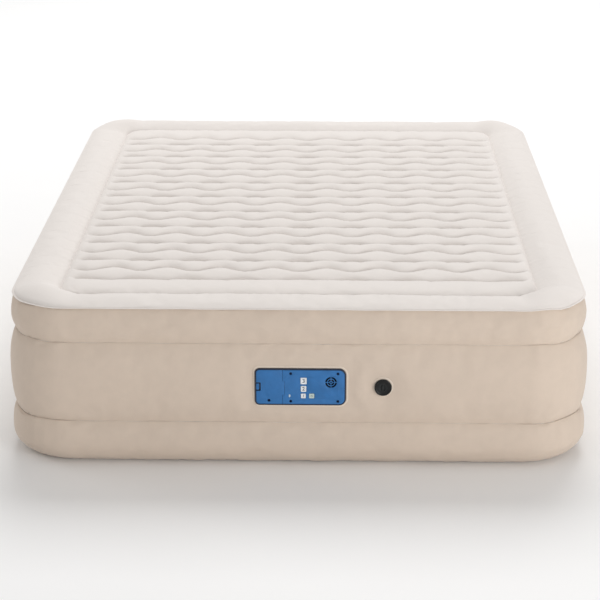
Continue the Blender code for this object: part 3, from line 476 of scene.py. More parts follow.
def ring_place(signs_x, signs_y, angle, inset):
    """Plan positions this far inside the widest line."""
    radius = CORNER_RADIUS - RADIUS_LOSS * inset
    x = signs_x * (HALF_X - inset - radius) + radius * np.cos(angle)
    y = signs_y * (HALF_Y - inset - radius) + radius * np.sin(angle)
    return x, y


def even_ring(corner_steps, spacing):
    """Corner signs and outward angle of evenly spaced points once round the mattress."""
    rows = []
    corners = ((1, -1), (1, 1), (-1, 1), (-1, -1))
    for number, (x, y) in enumerate(corners):
        next_x, next_y = corners[(number + 1) % 4]
        start = (number - 1) * QUARTER
        for step in range(corner_steps):
            rows.append((x, y, start + QUARTER * step / corner_steps))
        side = 2 * ((HALF_Y if x == next_x else HALF_X) - CORNER_RADIUS)
        count = round(side / spacing)
        for step in range(count):
            share = step / count
            rows.append((x + (next_x - x) * share, y + (next_y - y) * share, start + QUARTER))
    return np.array(rows).T


def lap_share(signs_x, signs_y, angle):
    """How far round the mattress each ring point is, from 0 to 1."""
    x, y = ring_place(signs_x, signs_y, angle, 0)
    steps = np.hypot(np.diff(x, append=x[0]), np.diff(y, append=y[0]))
    return np.concatenate(([0], np.cumsum(steps)[:-1])) / steps.sum()


def ripple(lap, low, high, seed, waves=9):
    """A smooth irregular wave round the ring, mostly within -1 to 1."""
    random = np.random.default_rng(seed)
    total = 0
    for _ in range(waves):
        turns = random.integers(low, high + 1)
        total = total + np.sin(2 * math.pi * (turns * lap + random.random()))
    return total / math.sqrt(waves)


def corner_share(angle):
    return np.abs(np.sin(2 * angle))


def crease_wobble(lap, angle, seed):
    """How far a weld line strays up and down: hardly on the straights, more round the corners."""
    near = 0.15 + 0.85 * np.sqrt(corner_share(angle))
    return ripple(lap, 24, 70, seed) * 0.0020 * near


def grid_faces(rows, columns, wrap):
    faces = []
    for row in range(rows - 1):
        for i in range(columns if wrap else columns - 1):
            j = (i + 1) % columns
            here, there = row * columns, (row + 1) * columns
            faces.append((here + i, here + j, there + j, there + i))
    return faces


BAND_RING = even_ring(22, 0.0135)
BAND_LAP = lap_share(*BAND_RING)
LOWER_WOBBLE = crease_wobble(BAND_LAP, BAND_RING[2], 11)
UPPER_WOBBLE = crease_wobble(BAND_LAP, BAND_RING[2], 12)
SEAM_WOBBLE_SEED = 13
SEAM_WOBBLE = crease_wobble(BAND_LAP, BAND_RING[2], SEAM_WOBBLE_SEED)
PUCKER_REACH = 0.016
SHARP_NOTCH = (0.0014, 0.0022)  # depth and reach, under a seam
SOFT_NOTCH = (0.00224, 0.010)  # and above one


def band(name, profile, low_wobble, high_wobble, pucker_seeds, shape=None):
    """A ring of the side wall from its (inset, z) profile, puckered beside its welds."""
    signs_x, signs_y, angle = BAND_RING
    profile = np.array(profile)
    low_z, high_z = profile[0, 1], profile[-1, 1]
    corner = corner_share(angle)
    slack = ripple(BAND_LAP, 4, 22, pucker_seeds[0]) * 0.0012
    low_pucker, high_pucker = (ripple(BAND_LAP, 150, 330, seed) for seed in pucker_seeds)
    rows = []
    for inset, z in profile:
        share = (z - low_z) / (high_z - low_z)
        swell = 1 - (2 * share - 1) ** 2
        x, y = ring_place(signs_x, signs_y, angle, inset)
        size = 0.0006 + 0.0011 * corner
        near_low = math.exp(-((z - low_z) / PUCKER_REACH)) * min(1, (z - low_z) / 0.004)
        near_high = math.exp(-((high_z - z) / PUCKER_REACH)) * min(1, (high_z - z) / 0.004)
        out = slack * swell * (0.4 + 0.6 * corner) + size * (low_pucker * near_low + high_pucker * near_high)
        height = z + low_wobble * (1 - share) + high_wobble * share
        rows.append(np.stack((x + out * np.cos(angle), y + out * np.sin(angle), height), 1))
    points = np.array(rows)
    if shape:
        points = shape(points)
    columns = points.shape[1]
    made = make(name, points.reshape(-1, 3), grid_faces(len(rows), columns, True), MATERIALS["flocked_side"])
    held = np.zeros(points.shape[:2], bool)
    held[:3] = held[-2:] = True
    y, z = points[..., 1], points[..., 2]
    held |= (np.abs(y - PATCH_Y) < 0.0001) & (z > LOWER_CREASE) & (z < UPPER_CREASE)
    settle(made, np.flatnonzero(held), pressure=2.5, slack=0.012)
    return solidify(made)


def pinch(height, notch, reach):
    """How far a wall is drawn in at this height from its seam."""
    return notch * math.exp(-((height / reach) ** 2))


def swelling(low_z, high_z, low_inset, high_inset, middle_inset, steps, power=2.4):
    """(inset, z) up a band that swells between its two seams and pulls in sharply at them."""
    points = []
    for step in range(steps + 1):
        share = 0.5 - 0.5 * math.cos(math.pi * step / steps)
        seam = low_inset + (high_inset - low_inset) * share
        swell = 1 - abs(2 * share - 1) ** power
        z = low_z + (high_z - low_z) * share
        drawn_in = pinch(high_z - z, *SHARP_NOTCH) + pinch(z - low_z, *SOFT_NOTCH)
        points.append((seam * (1 - swell) + middle_inset * swell + drawn_in, z))
    return points


def lower_band():
    middle_z = BOTTOM_ROLL
    roll_width = BOTTOM_ROLL - LOWER_BULGE_INSET
    profile = []
    for step in range(14):
        angle = QUARTER * (1 - step / 14)
        profile.append((BOTTOM_ROLL - roll_width * math.cos(angle), middle_z * (1 - math.sin(angle))))
    for step in range(15):
        share = math.sin(QUARTER * step / 14)
        z = middle_z + (LOWER_CREASE - middle_z) * share
        inset = LOWER_BULGE_INSET + (LOWER_CREASE_INSET - LOWER_BULGE_INSET) * share**4
        profile.append((inset + pinch(LOWER_CREASE - z, *SHARP_NOTCH), z))
    made = band("lower_side_band_skin", profile, 0 * LOWER_WOBBLE, LOWER_WOBBLE, (21, 22))
    place(made, "root", "flocked_side", "lower_side_band", fill=0.9)


def hold_flat(points):
    """Holds the front flat round the pump and the valve, and lets it swell away from them."""
    low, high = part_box("pump_housing")
    cap_low, cap_high, middle = extent("valve_cap")
    x, z = points[..., 0], points[..., 2]
    away_x = np.maximum(np.maximum(low.x - x, x - high.x), 0)
    away_z = np.maximum(np.maximum(low.z - z, z - high.z), 0)
    from_pump = np.hypot(away_x, away_z)
    from_valve = np.hypot(x - middle.x, z - middle.z) - (cap_high.x - cap_low.x) / 2
    away = np.minimum(from_pump, from_valve)
    held = 1 - smoothstep((away - 0.009) / 0.045)
    front = points[..., 1] < 0
    flat = np.maximum(points[..., 1], PATCH_Y)
    points[..., 1] = np.where(front, points[..., 1] * (1 - held) + flat * held, points[..., 1])
    return points


def middle_band():
    profile = swelling(LOWER_CREASE, UPPER_CREASE, LOWER_CREASE_INSET, UPPER_CREASE_INSET, 0, 32)
    made = band("middle_side_band_skin", profile, LOWER_WOBBLE, UPPER_WOBBLE, (23, 24), hold_flat)
    socket = middle_of("valve_socket")
    through = (PATCH_Y - 0.02, PATCH_Y + 0.02)
    punch(made, rounded_inside(*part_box("pump_housing"), 0.0055, 0.007, 0.012), *through)
    punch(made, circle(socket.x, socket.z, 0.0144), *through)
    place(made, "root", "flocked_side", "middle_side_band", "front_side_panel", fill=0.9)


def upper_band():
    profile = swelling(UPPER_CREASE, RIM_SEAM, UPPER_CREASE_INSET, RIM_SEAM_INSET, UPPER_BULGE_INSET, 24, 2.2)
    made = band("upper_side_band_skin", profile, UPPER_WOBBLE, SEAM_WOBBLE, (25, 26))
    place(made, "root", "flocked_side", "upper_side_band", fill=0.9)


# Top


def grooves():
    """(y, is wavy) of each weld groove of the pillow field, from front to rear, from the beams under them."""
    found = []
    for name in sorted(frame["nodes"]):
        if name.startswith(("straight_beam", "wavy_beam")):
            found.append((middle_of(name).y, name.startswith("wavy")))
    return sorted(found)


GROOVES = grooves()
FIELD_X = HALF_X - FIELD_INSET
FIELD_Y = HALF_Y - FIELD_INSET
FIELD_RADIUS = CORNER_RADIUS - RADIUS_LOSS * FIELD_INSET
COLUMNS = 112
STRIP_SHARES = (0, 0.028, 0.075, 0.15, 0.26, 0.40, 0.54, 0.68, 0.80, 0.89, 0.95, 0.978)
ARC_ROWS = 9


def groove_wave(number, x):
    """How far a groove strays from its straight line."""
    if not 0 <= number < len(GROOVES):
        return 0 * x
    wavy = GROOVES[number][1]
    wave = np.cos(2 * math.pi * x / WAVE_LENGTH)
    fade = smoothstep((FIELD_X - np.abs(x)) / 0.05)
    return (-WAVE_HEIGHT if wavy else COUNTER_WAVE) * wave * fade


def groove_strength(number, x):
    """1 along a groove, falling to 0 where it ends short of the side seams."""
    if not 0 <= number < len(GROOVES):
        return 0 * x
    start, full = WAVY_FADE if GROOVES[number][1] else STRAIGHT_FADE
    return smoothstep((FIELD_X - np.abs(x) - start) / (full - start))


def field_row_places():
    """(strip number, share across the strip) of each row, from the front seam to the rear seam."""
    places = []
    edge = FIELD_Y - FIELD_RADIUS
    first, last = GROOVES[0][0], GROOVES[-1][0]
    for step in range(ARC_ROWS):
        y = -edge - FIELD_RADIUS * math.cos(QUARTER * step / ARC_ROWS)
        places.append((0, (y + FIELD_Y) / (first + FIELD_Y)))
    start = (FIELD_Y - edge) / (first + FIELD_Y)
    places += [(0, start + (1 - start) * share) for share in (0, 0.3, 0.55, 0.75, 0.9, 0.96)]
    for strip in range(1, len(GROOVES)):
        places += [(strip, share) for share in STRIP_SHARES]
    strip = len(GROOVES)
    stop = (edge - last) / (FIELD_Y - last)
    places += [(strip, stop * share) for share in (0, 0.03, 0.09, 0.2, 0.35, 0.5, 0.65, 0.8, 0.9)]
    for step in range(ARC_ROWS + 1):
        y = edge + FIELD_RADIUS * math.sin(QUARTER * step / ARC_ROWS)
        places.append((strip, (y - last) / (FIELD_Y - last)))
    return places


def field_edge_x(y):
    """Half the field's width at this y, with its round corners."""
    past = max(0.0, abs(y) - (FIELD_Y - FIELD_RADIUS))
    return FIELD_X - FIELD_RADIUS + math.sqrt(max(0.0, FIELD_RADIUS**2 - past**2))


def edge_distance(x, y):
    """How far inside the field's seam each point is."""
    in_x, in_y = FIELD_X - np.abs(x), FIELD_Y - np.abs(y)
    corner = FIELD_RADIUS - np.hypot(np.maximum(FIELD_RADIUS - in_x, 0), np.maximum(FIELD_RADIUS - in_y, 0))
    return np.where((in_x < FIELD_RADIUS) & (in_y < FIELD_RADIUS), corner, np.minimum(in_x, in_y))


def field_points():
    """The pillow field as rows of points, and each point's closeness to a weld."""
    rows, welds = [], []
    lines = [-FIELD_Y] + [y for y, _ in GROOVES] + [FIELD_Y]
    across = np.linspace(-1, 1, COLUMNS + 1)
    for strip, share in field_row_places():
        width = lines[strip + 1] - lines[strip]
        nominal = lines[strip] + width * share
        x = across * field_edge_x(nominal)
        y = nominal + groove_wave(strip - 1, x) * (1 - share) + groove_wave(strip, x) * share
        rise = np.clip(edge_distance(x, y) / EDGE_RISE, 0, 1)
        crest = FIELD_EDGE + (PILLOW_Z - FIELD_EDGE) * np.sqrt(1 - (1 - rise) ** 2)
        local_width = width + groove_wave(strip, x) - groove_wave(strip - 1, x)
        nearer_low = share < 0.5
        number = strip - 1 if nearer_low else strip
        distance = np.maximum(0, (share if nearer_low else 1 - share) * local_width - WELD_HALF)
        reach = np.minimum(local_width / 2, 0.045) - WELD_HALF
        rise_from_weld = 1 - np.maximum(0, 1 - distance / reach) ** DIP_POWERS[0]
        dip = 1 - rise_from_weld ** DIP_POWERS[1]
        strength = groove_strength(number, x)
        rows.append(np.stack((x, y, crest - (crest - GROOVE_Z) * dip * strength), 1))
        welds.append(np.where(distance <= 1e-6, strength, 0))
    return np.array(rows), np.array(welds)


def field_border(points):
    """Corner signs, outward angle and grid index of the field's border, once round from the front right."""
    rows, columns = points.shape[:2]
    border = []
    edge = FIELD_Y - FIELD_RADIUS

    def side_angle(y):
        return math.asin(max(-1.0, min(1.0, (abs(y) - edge) / FIELD_RADIUS))) if abs(y) > edge else 0.0

    for side in (1, -1):
        last_column = columns - 1 if side > 0 else 0
        last_row = rows - 1 if side > 0 else 0
        for row in range(rows)[::side]:
            y = points[row, last_column, 1]
            turn = math.copysign(side_angle(y), y)
            angle = turn if side > 0 else math.pi - turn
            border.append((side, max(-1, min(1, y / edge)), angle, row * columns + last_column))
        for column in range(1, columns - 1)[::-side]:
            x = 2 * column / (columns - 1) - 1
            border.append((x, side, (2 - side) * QUARTER, last_row * columns + column))
    return np.array(border).T


def rim_rows():
    """(inset, z, corner lift share) from the field's seam over the crest and down to the side seam's lip."""
    rows = []
    steps = 9
    for step in range(1, steps + 1):
        share = step / steps
        rise = (1 - (1 - share) ** 1.9) ** 0.87
        inset = FIELD_INSET + (RIM_CREST_INSET - FIELD_INSET) * share
        rows.append((inset, FIELD_EDGE + (RIM_CREST - FIELD_EDGE) * rise, rise))
    low = RIM_SEAM + 0.0012
    outer = RIM_SEAM_INSET - 0.0026
    for step in range(1, steps + 1):
        share = 1 - (1 - step / steps) ** 1.25
        rise = (1 - share**1.75) ** (1 / 1.35)
        inset = RIM_CREST_INSET + (outer - RIM_CREST_INSET) * share
        rows.append((inset, low + (RIM_CREST - low) * rise, rise))
    lip = RIM_SEAM_INSET - LIP_WIDTH
    rows.append((outer + 0.0008, RIM_SEAM + 0.0007, 0))
    rows.append((outer - 0.0006, RIM_SEAM + 0.0006, 0))
    rows.append((lip + 0.0005, RIM_SEAM + 0.0004, 0))
    rows.append((lip, RIM_SEAM - 0.0004, 0))
    rows.append((lip + 0.0006, RIM_SEAM - 0.0012, 0))
    return rows


def top_sheet():
    field, welds = field_points()
    rows, columns = field.shape[:2]
    signs_x, signs_y, angle, index = field_border(field)
    lap = lap_share(signs_x, signs_y, angle)
    wobble = crease_wobble(lap, angle, SEAM_WOBBLE_SEED)
    corner = corner_share(angle)
    slack = ripple(lap, 6, 30, 31) * 0.0010
    inner_pucker = ripple(lap, 130, 260, 32)
    outer_pucker = ripple(lap, 130, 300, 33)
    points = [field.reshape(-1, 3)]
    faces = grid_faces(rows, columns, False)
    previous = index.astype(int)
    pins = list(np.flatnonzero(welds.ravel() > 0.4)) + list(previous)
    count = rows * columns
    profile = rim_rows()
    for inset, z, lift in profile:
        x, y = ring_place(signs_x, signs_y, angle, inset)
        near_seam = math.exp(-(FIELD_INSET - inset) / 0.012) * min(1, (FIELD_INSET - inset) / 0.004)
        near_lip = math.exp(-max(0.0, inset - RIM_SEAM_INSET) / 0.014)
        height = z + CORNER_LIFT * lift * corner + slack * lift
        height = height + wobble * math.exp(-max(0.0, inset - RIM_SEAM_INSET) / 0.02)
        height = height + 0.0009 * inner_pucker * near_seam
        out = 0.0007 * outer_pucker * near_lip * (0.3 + 0.7 * corner) * min(1, lift * 8)
        points.append(np.stack((x + out * np.cos(angle), y + out * np.sin(angle), height), 1))
        ring = np.arange(count, count + len(x))
        count += len(x)
        for i in range(len(ring)):
            j = (i + 1) % len(ring)
            faces.append((previous[j], previous[i], ring[i], ring[j]))
        previous = ring
        if inset < RIM_SEAM_INSET:
            pins += list(ring)
    made = make("top_sheet_skin", np.concatenate(points), faces, MATERIALS["flocked_top"], math.radians(80))
    settle(made, pins, pressure=1.2, slack=0.006)
    solidify(made)
    place(made, "root", "flocked_top", "top_sheet", fill=0.8)


def bottom_sheet():
    """The flat underside, with the shallow folds that its weld draws into it."""
    signs_x, signs_y, angle = even_ring(16, 0.03)
    outline_x, outline_y = ring_place(signs_x, signs_y, angle, BOTTOM_ROLL + 0.0003)
    lap = lap_share(signs_x, signs_y, angle)
    folds = 1 + 0.5 * ripple(lap, 30, 90, 41)
    points = []
    sizes = (1, 0.995, 0.985, 0.97, 0.95, 0.92, 0.88, 0.82, 0.74, 0.62, 0.48, 0.32, 0.16)
    for size in sizes:
        x, y = outline_x * size, outline_y * size
        near_weld = math.exp(-(1 - size) / 0.035) * min(1, (1 - size) / 0.015)
        broad = 1 + 0.5 * np.sin(5.1 * x + 1.3) * np.cos(4.3 * y) + 0.5 * np.sin(9.7 * y - 2.9 * x)
        height = FOLD_HEIGHT * (folds * near_weld + 0.8 * broad * min(1, (1 - size) / 0.1))
        points.append(np.stack((x, y, SHEET + np.maximum(height, 0)), 1))
    count = len(angle)
    faces = grid_faces(len(sizes), count, True)
    faces.append(tuple(range((len(sizes) - 1) * count, len(sizes) * count)))
    made = make("bottom_sheet_skin", np.concatenate(points), faces, MATERIALS["base_vinyl"])
    solidify(made)
    place(made, "root", "base_vinyl", "bottom_sheet", fill=0.9)


# Inside


def beam(name, wavy):
    """An inner strip with the flange along its top and bottom that is welded to the sheets."""
    low, high, middle = extent(name)
    count = round((high.x - low.x) / (0.009 if wavy else 0.05))
    x = np.linspace(low.x, high.x, count + 1)
    wave = -WAVE_HEIGHT * np.cos(2 * math.pi * x / WAVE_LENGTH) if wavy else 0 * x
    slope = np.gradient(wave, x)
    across_x, across_y = -slope / np.hypot(1, slope), 1 / np.hypot(1, slope)
    web, foot, thick = 0.00025, 0.005, 0.0004
    section = [(-foot, low.z), (foot, low.z), (foot, low.z + thick), (web, low.z + thick)]
    section += [(web, high.z - thick), (foot, high.z - thick), (foot, high.z), (-foot, high.z)]
    section += [(-foot, high.z - thick), (-web, high.z - thick)]
    section += [(-web, low.z + thick), (-foot, low.z + thick)]
    rings = []
    for i in range(count + 1):
        y = middle.y + wave[i]
        rings.append([(x[i] + off * across_x[i], y + off * across_y[i], z) for off, z in section])
    made = loft(f"{name}_web", rings, MATERIALS["inner_vinyl"])
    place(made, "root", "inner_vinyl", name, fill=1.0)


def beams():
    for name in sorted(frame["nodes"]):
        if "_beam_" in name:
            beam(name, name.startswith("wavy"))


VENT_PLACE = (0.669, 0.406)
VENT_RADIUS = 0.03


def divider(name):
    """A sheet that ties the side welds together, with round air vents."""
    low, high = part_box(name)
    signs_x, signs_y, angle = even_ring(16, 0.04)
    x, y = ring_place(signs_x, signs_y, angle, HALF_X - high.x)
    rings = [at_z(zip(x, y), z) for z in (low.z, high.z)]
    made = loft(f"{name}_vented", rings, MATERIALS["inner_vinyl"])
    for side_x in (-1, 1):
        for side_y in (-1, 1):
            vent = circle(side_x * VENT_PLACE[0], side_y * VENT_PLACE[1], VENT_RADIUS, 40)
            cut(made, loft("vent", [at_z(vent, z) for z in (low.z - 0.01, high.z + 0.01)]))
    place(made, "root", "inner_vinyl", name, fill=1.0)


# Pump face


FLANGE_LOW, FLANGE_HIGH, FLANGE_MIDDLE = extent("pump_housing")
FRONT_Y = FLANGE_LOW.y
RIM = 0.0033
LEFT_RADIUS, RIGHT_RADIUS = 0.012, 0.018
POCKET_Y = FRONT_Y + 0.0035
PANEL_BACK_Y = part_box("control_panel")[1].y
TUB_MARGIN = 0.006
TUB_WALL = 0.002
CUT_Y = (FRONT_Y - 0.004, PANEL_BACK_Y + 0.003)
SCREWS = ("panel_screw_1", "panel_screw_2", "panel_screw_3", "panel_screw_4", "door_frame_screw")
HEAD_RADIUS = 0.0032
SHANK_BORE = 0.0017
BOSS_RADIUS = 0.0034
PIN_BORE = 0.00105
EDGE_BEVEL = 0.00035
GRILLE_DISH = (0.0188, 0.0162)
GRILLE_SLOTS = (((0.0106, 0.0149), 0.90), ((0.0042, 0.0085), 0.84))  # radii, and share of the quarter
GRILLE_EYE = 0.0021
BUTTONS = {"button_firm": "3", "button_medium": "2", "button_soft": "1", "button_deflate": ""}
BUTTON_COLLAR = 0.0019


def flange_outline(margin):
    loss = min(margin, TUB_MARGIN)
    return rounded_inside(FLANGE_LOW, FLANGE_HIGH, margin, LEFT_RADIUS - loss, RIGHT_RADIUS - loss)


def flange_lip(grow):
    return rounded_inside(FLANGE_LOW, FLANGE_HIGH, -grow, LEFT_RADIUS + grow, RIGHT_RADIUS + grow)


def pump_housing():
    """Flange with its rolled rim, the pocket for the panel, the tub and the screw bosses."""
    tub_back = FLANGE_HIGH.y
    inner = TUB_MARGIN + TUB_WALL
    rings = [at_y(flange_outline(inner), tub_back - TUB_WALL), at_y(flange_outline(inner), POCKET_Y)]
    rings.append(at_y(flange_outline(RIM), POCKET_Y))
    for step in range(9):
        turn = math.pi * step / 8
        margin = RIM / 2 * (1 + math.cos(turn))
        rings.append(at_y(flange_outline(margin), FRONT_Y + 0.0010 * (1 - math.sin(turn)) + 0.00002))
    flange_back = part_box("middle_side_band")[0].y - 0.0003
    rings.append(at_y(flange_outline(0), flange_back))
    rings.append(at_y(flange_outline(TUB_MARGIN), flange_back))
    rings.append(at_y(flange_outline(TUB_MARGIN), tub_back - 0.002))
    rings.append(at_y(flange_outline(TUB_MARGIN + 0.001), tub_back))
    made = loft("pump_housing_moulding", rings, MATERIALS["navy_plastic"])
    boss_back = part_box("panel_screw_1")[1].y + 0.001
    for name in SCREWS:
        middle = middle_of(name)
        upper = middle.z > FLANGE_MIDDLE.z
        wall = FLANGE_HIGH.z - inner + 0.001 if upper else FLANGE_LOW.z + inner - 0.001
        turn = math.pi if upper else 0
        side = BOSS_RADIUS if upper else -BOSS_RADIUS
        outline = arc(middle.x, middle.z, BOSS_RADIUS, turn, turn + math.pi, 14)
        outline += [(middle.x + side, wall), (middle.x - side, wall)]
        punch(made, outline, POCKET_Y + 0.0002, boss_back, "UNION")
        punch(made, circle(middle.x, middle.z, SHANK_BORE, 24), POCKET_Y - 0.002, boss_back + 0.002)
    duct = middle_of("outlet_duct")
    punch(made, circle(duct.x, duct.z, 0.0113), tub_back - 0.006, tub_back + 0.004)
    notch_x = FLANGE_LOW.x + RIM
    notch_z = middle_of("door_latch").z
    low = (notch_x - 0.0013, FRONT_Y + 0.0009, notch_z - 0.0063)
    high = (notch_x + 0.0010, POCKET_Y - 0.0003, notch_z + 0.0063)
    cut(made, block("notch", low, high))
    place(made, "root", "navy_plastic", "pump_housing")


def screw_seat(made, name, seat):
    """Counterbores a screw's head and bores its shank."""
    middle = middle_of(name)
    profile = [
        (HEAD_RADIUS + 0.0011, CUT_Y[0]),
        (HEAD_RADIUS + 0.0011, FRONT_Y),
        (HEAD_RADIUS + 0.0006, FRONT_Y + 0.0005),
        (HEAD_RADIUS + 0.0006, seat),
        (SHANK_BORE, seat),
        (SHANK_BORE, CUT_Y[1]),
    ]
    cut(made, turned("seat", middle.x, middle.z, profile, steps=32))


def hinge_bore(made):
    low, high, middle = extent("hinge_pin")
    ring = circle(middle.x, middle.y, PIN_BORE, 20)
    cut(made, loft("pin_bore", [at_z(ring, z) for z in (low.z - 0.0006, high.z + 0.0006)]))


def vent_slot(x, z, radii, middle, share):
    half = math.pi / 4 * share
    inner = arc(x, z, radii[0], middle - half, middle + half, 14)
    return inner + arc(x, z, radii[1], middle + half, middle - half, 14)


def button_face(name):
    """Middle and size of a button's face, inside the collar that holds it in."""
    low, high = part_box(name)
    size = high - low
    return (low.x + high.x) / 2, (low.z + high.z) / 2, size.x - 2 * BUTTON_COLLAR, size.z - 2 * BUTTON_COLLAR


def control_panel():
    low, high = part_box("control_panel")
    pin_z = middle_of("hinge_pin").z
    radius = RIGHT_RADIUS - RIM - 0.0003
    edge = low.x
    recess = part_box("cord_door")[1].x + 0.0006
    tongue_low, tongue_high = pin_z - 0.0220, pin_z + 0.0164
    outline = arc(high.x - radius, low.z + radius, radius, -QUARTER, 0, 12)
    outline += arc(high.x - radius, high.z - radius, radius, 0, QUARTER, 12)
    outline += [(edge, high.z), (edge, tongue_high), (recess, tongue_high)]
    outline += [(recess, tongue_low), (edge, tongue_low), (edge, low.z)]
    made = prism("control_panel_moulding", outline, FRONT_Y, PANEL_BACK_Y, MATERIALS["blue_plastic"])
    vent = middle_of("impeller")
    outer, inner = GRILLE_DISH
    dish = [(outer, CUT_Y[0]), (outer, FRONT_Y), (inner, FRONT_Y + 0.0014), (0.004, FRONT_Y + 0.0016)]
    cut(made, turned("dish", vent.x, vent.z, dish))
    for number in range(4):
        for radii, share in GRILLE_SLOTS:
            punch(made, vent_slot(vent.x, vent.z, radii, (number + 0.5) * QUARTER, share), *CUT_Y)
    punch(made, circle(vent.x, vent.z, GRILLE_EYE, 24), *CUT_Y)
    for name in BUTTONS:
        x, z, width, height = button_face(name)
        gap = 0.0007
        punch(made, rounded_about(x, z, width / 2 + gap, height / 2 + gap, 0.0023), *CUT_Y)
    punch(made, rounded_inside(*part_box("led_lens"), -0.0003, 0.0022), *CUT_Y)
    for name in SCREWS[:4]:
        screw_seat(made, name, FRONT_Y + 0.0019)
    hinge_bore(made)
    bevel(made, EDGE_BEVEL)
    place(made, "root", "blue_plastic", "control_panel")


def numeral(text, x, y, z, height):
    """A generic digit, as a thin inlay on a button."""
    data = bpy.data.curves.new("digit", "FONT")
    data.body = text
    data.size = height
    data.align_x = "CENTER"
    data.align_y = "CENTER"
    data.extrude = 0.00012
    data.offset = height * 0.012
    holder = bpy.data.objects.new("digit", data)
    bpy.context.scene.collection.objects.link(holder)
    holder.rotation_euler = (QUARTER, 0, 0)
    holder.location = (x, y, z)
    bpy.context.view_layer.update()
    mesh = bpy.data.meshes.new_from_object(holder.evaluated_get(bpy.context.evaluated_depsgraph_get()))
    mesh.transform(holder.matrix_world)
    bpy.data.objects.remove(holder, do_unlink=True)
    made = bpy.data.objects.new(f"digit_{text}", mesh)
    bpy.context.scene.collection.objects.link(made)
    mesh.materials.clear()
    mesh.materials.append(MATERIALS["numeral"])
    return made


def button(name, text):
    """A push button with a domed, slightly dished face, its collar and its stem."""
    x, z, width, height = button_face(name)
    low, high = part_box(name)
    rings = []
    front = low.y
    steps = [(-0.0022, 0.00028), (-0.0014, 0.00012), (-0.0008, 0.0), (-0.0003, 0.00012), (0, 0.0005)]
    steps += [(0, PANEL_BACK_Y + 0.0003 - front), (BUTTON_COLLAR, PANEL_BACK_Y + 0.0003 - front)]
    steps += [(BUTTON_COLLAR, PANEL_BACK_Y + 0.0015 - front), (-0.0012, high.y - front)]
    for grow, depth in steps:
        corner = max(0.0004, 0.0017 + grow * 0.5)
        rings.append(at_y(rounded_about(x, z, width / 2 + grow, height / 2 + grow, corner, 6), front + depth))
    material = MATERIALS["button_plastic" if text else "button_green"]
    made = loft(f"{name}_cap", rings, material)
    place(made, name, "button_plastic", name)
    face = front + 0.00026
    if text:
        mark = numeral(text, x, face, z, height * 0.86)
    else:
        outer = rounded_about(x, z, 0.0024, 0.0024, 0.0005, 3)
        mark = prism("deflate_mark", outer, face - 0.00012, face + 0.00012, MATERIALS["numeral"])
        punch(mark, rounded_about(x, z, 0.0016, 0.0016, 0.0002, 3), face - 0.001, face + 0.001)
    mark.name = f"{name}_mark"
    place(mark, name, "button_plastic")


def cord_door():
    low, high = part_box("cord_door")
    radius = LEFT_RADIUS - RIM - 0.0003
    pin = middle_of("hinge_pin")
    edge = pin.x - 0.0024
    tongue_low, tongue_high = pin.z - 0.0214, pin.z + 0.0158
    outline = [(edge, low.z), (edge, tongue_low), (high.x, tongue_low), (high.x, tongue_high)]
    outline += [(edge, tongue_high), (edge, high.z)]
    outline += arc(low.x + radius, high.z - radius, radius, QUARTER, 2 * QUARTER, 10)
    outline += arc(low.x + radius, low.z + radius, radius, 2 * QUARTER, 3 * QUARTER, 10)
    made = prism("cord_door_moulding", outline, FRONT_Y, PANEL_BACK_Y, MATERIALS["blue_plastic"])
    frame_screw = middle_of("door_frame_screw")
    punch(made, circle(frame_screw.x, frame_screw.z, HEAD_RADIUS + 0.0008, 32), *CUT_Y)
    latch_z = middle_of("door_latch").z
    slot_half = 0.0116
    slot = rounded(low.x - 0.010, latch_z - slot_half, pin.x - 0.0580, latch_z + slot_half, 0.001, 0.0018, 6)
    punch(made, slot, *CUT_Y)
    grip = rounded(pin.x - 0.0565, latch_z - 0.0105, pin.x - 0.0535, latch_z + 0.0105, 0.0014, steps=6)
    punch(made, grip, CUT_Y[0], FRONT_Y + 0.0005)
    hinge_bore(made)
    bevel(made, EDGE_BEVEL)
    place(made, "cord_door", "blue_plastic", "cord_door")


def door_latch():
    """The sliding latch with its thumb ribs, its nose and the plate behind the door."""
    low, high, middle = extent("door_latch")
    z = middle.z
    pad_left = low.x + 0.0011
    pad_right = middle_of("hinge_pin").x - 0.0620
    half = 0.0081
    outline = rounded(pad_left, z - half, pad_right, z + half, 0.0006, 0.0012, 6)
    made = prism("door_latch_moulding", outline, FRONT_Y, PANEL_BACK_Y, MATERIALS["blue_plastic"])
    nose_half = half - 0.0028
    nose_low = (low.x, FRONT_Y + 0.0012, z - nose_half)
    nose_high = (low.x + 0.002, PANEL_BACK_Y - 0.0003, z + nose_half)
    cut(made, block("nose", nose_low, nose_high), "UNION")
    plate_low = (pad_right - 0.0026, PANEL_BACK_Y + 0.0003, low.z)
    plate = block("door_latch_plate", plate_low, (high.x, high.y, high.z), MATERIALS["dark_plastic"])
    bevel(plate, 0.0002)
    place(plate, "door_latch", "dark_plastic")
    stem_low = (pad_right - 0.0020, PANEL_BACK_Y - 0.001, z - nose_half)
    stem_high = (pad_right - 0.0004, PANEL_BACK_Y + 0.0003, z + nose_half)
    cut(made, block("stem", stem_low, stem_high), "UNION")
    for number in range(5):
        groove_z = z - 0.0048 + 0.0024 * number
        low_corner = (pad_left + 0.0012, FRONT_Y - 0.001, groove_z - 0.0005)
        cut(made, block("rib", low_corner, (pad_right - 0.0012, FRONT_Y + 0.0005, groove_z + 0.0005)))
    bevel(made, 0.0002)
    place(made, "door_latch", "blue_plastic", "door_latch")


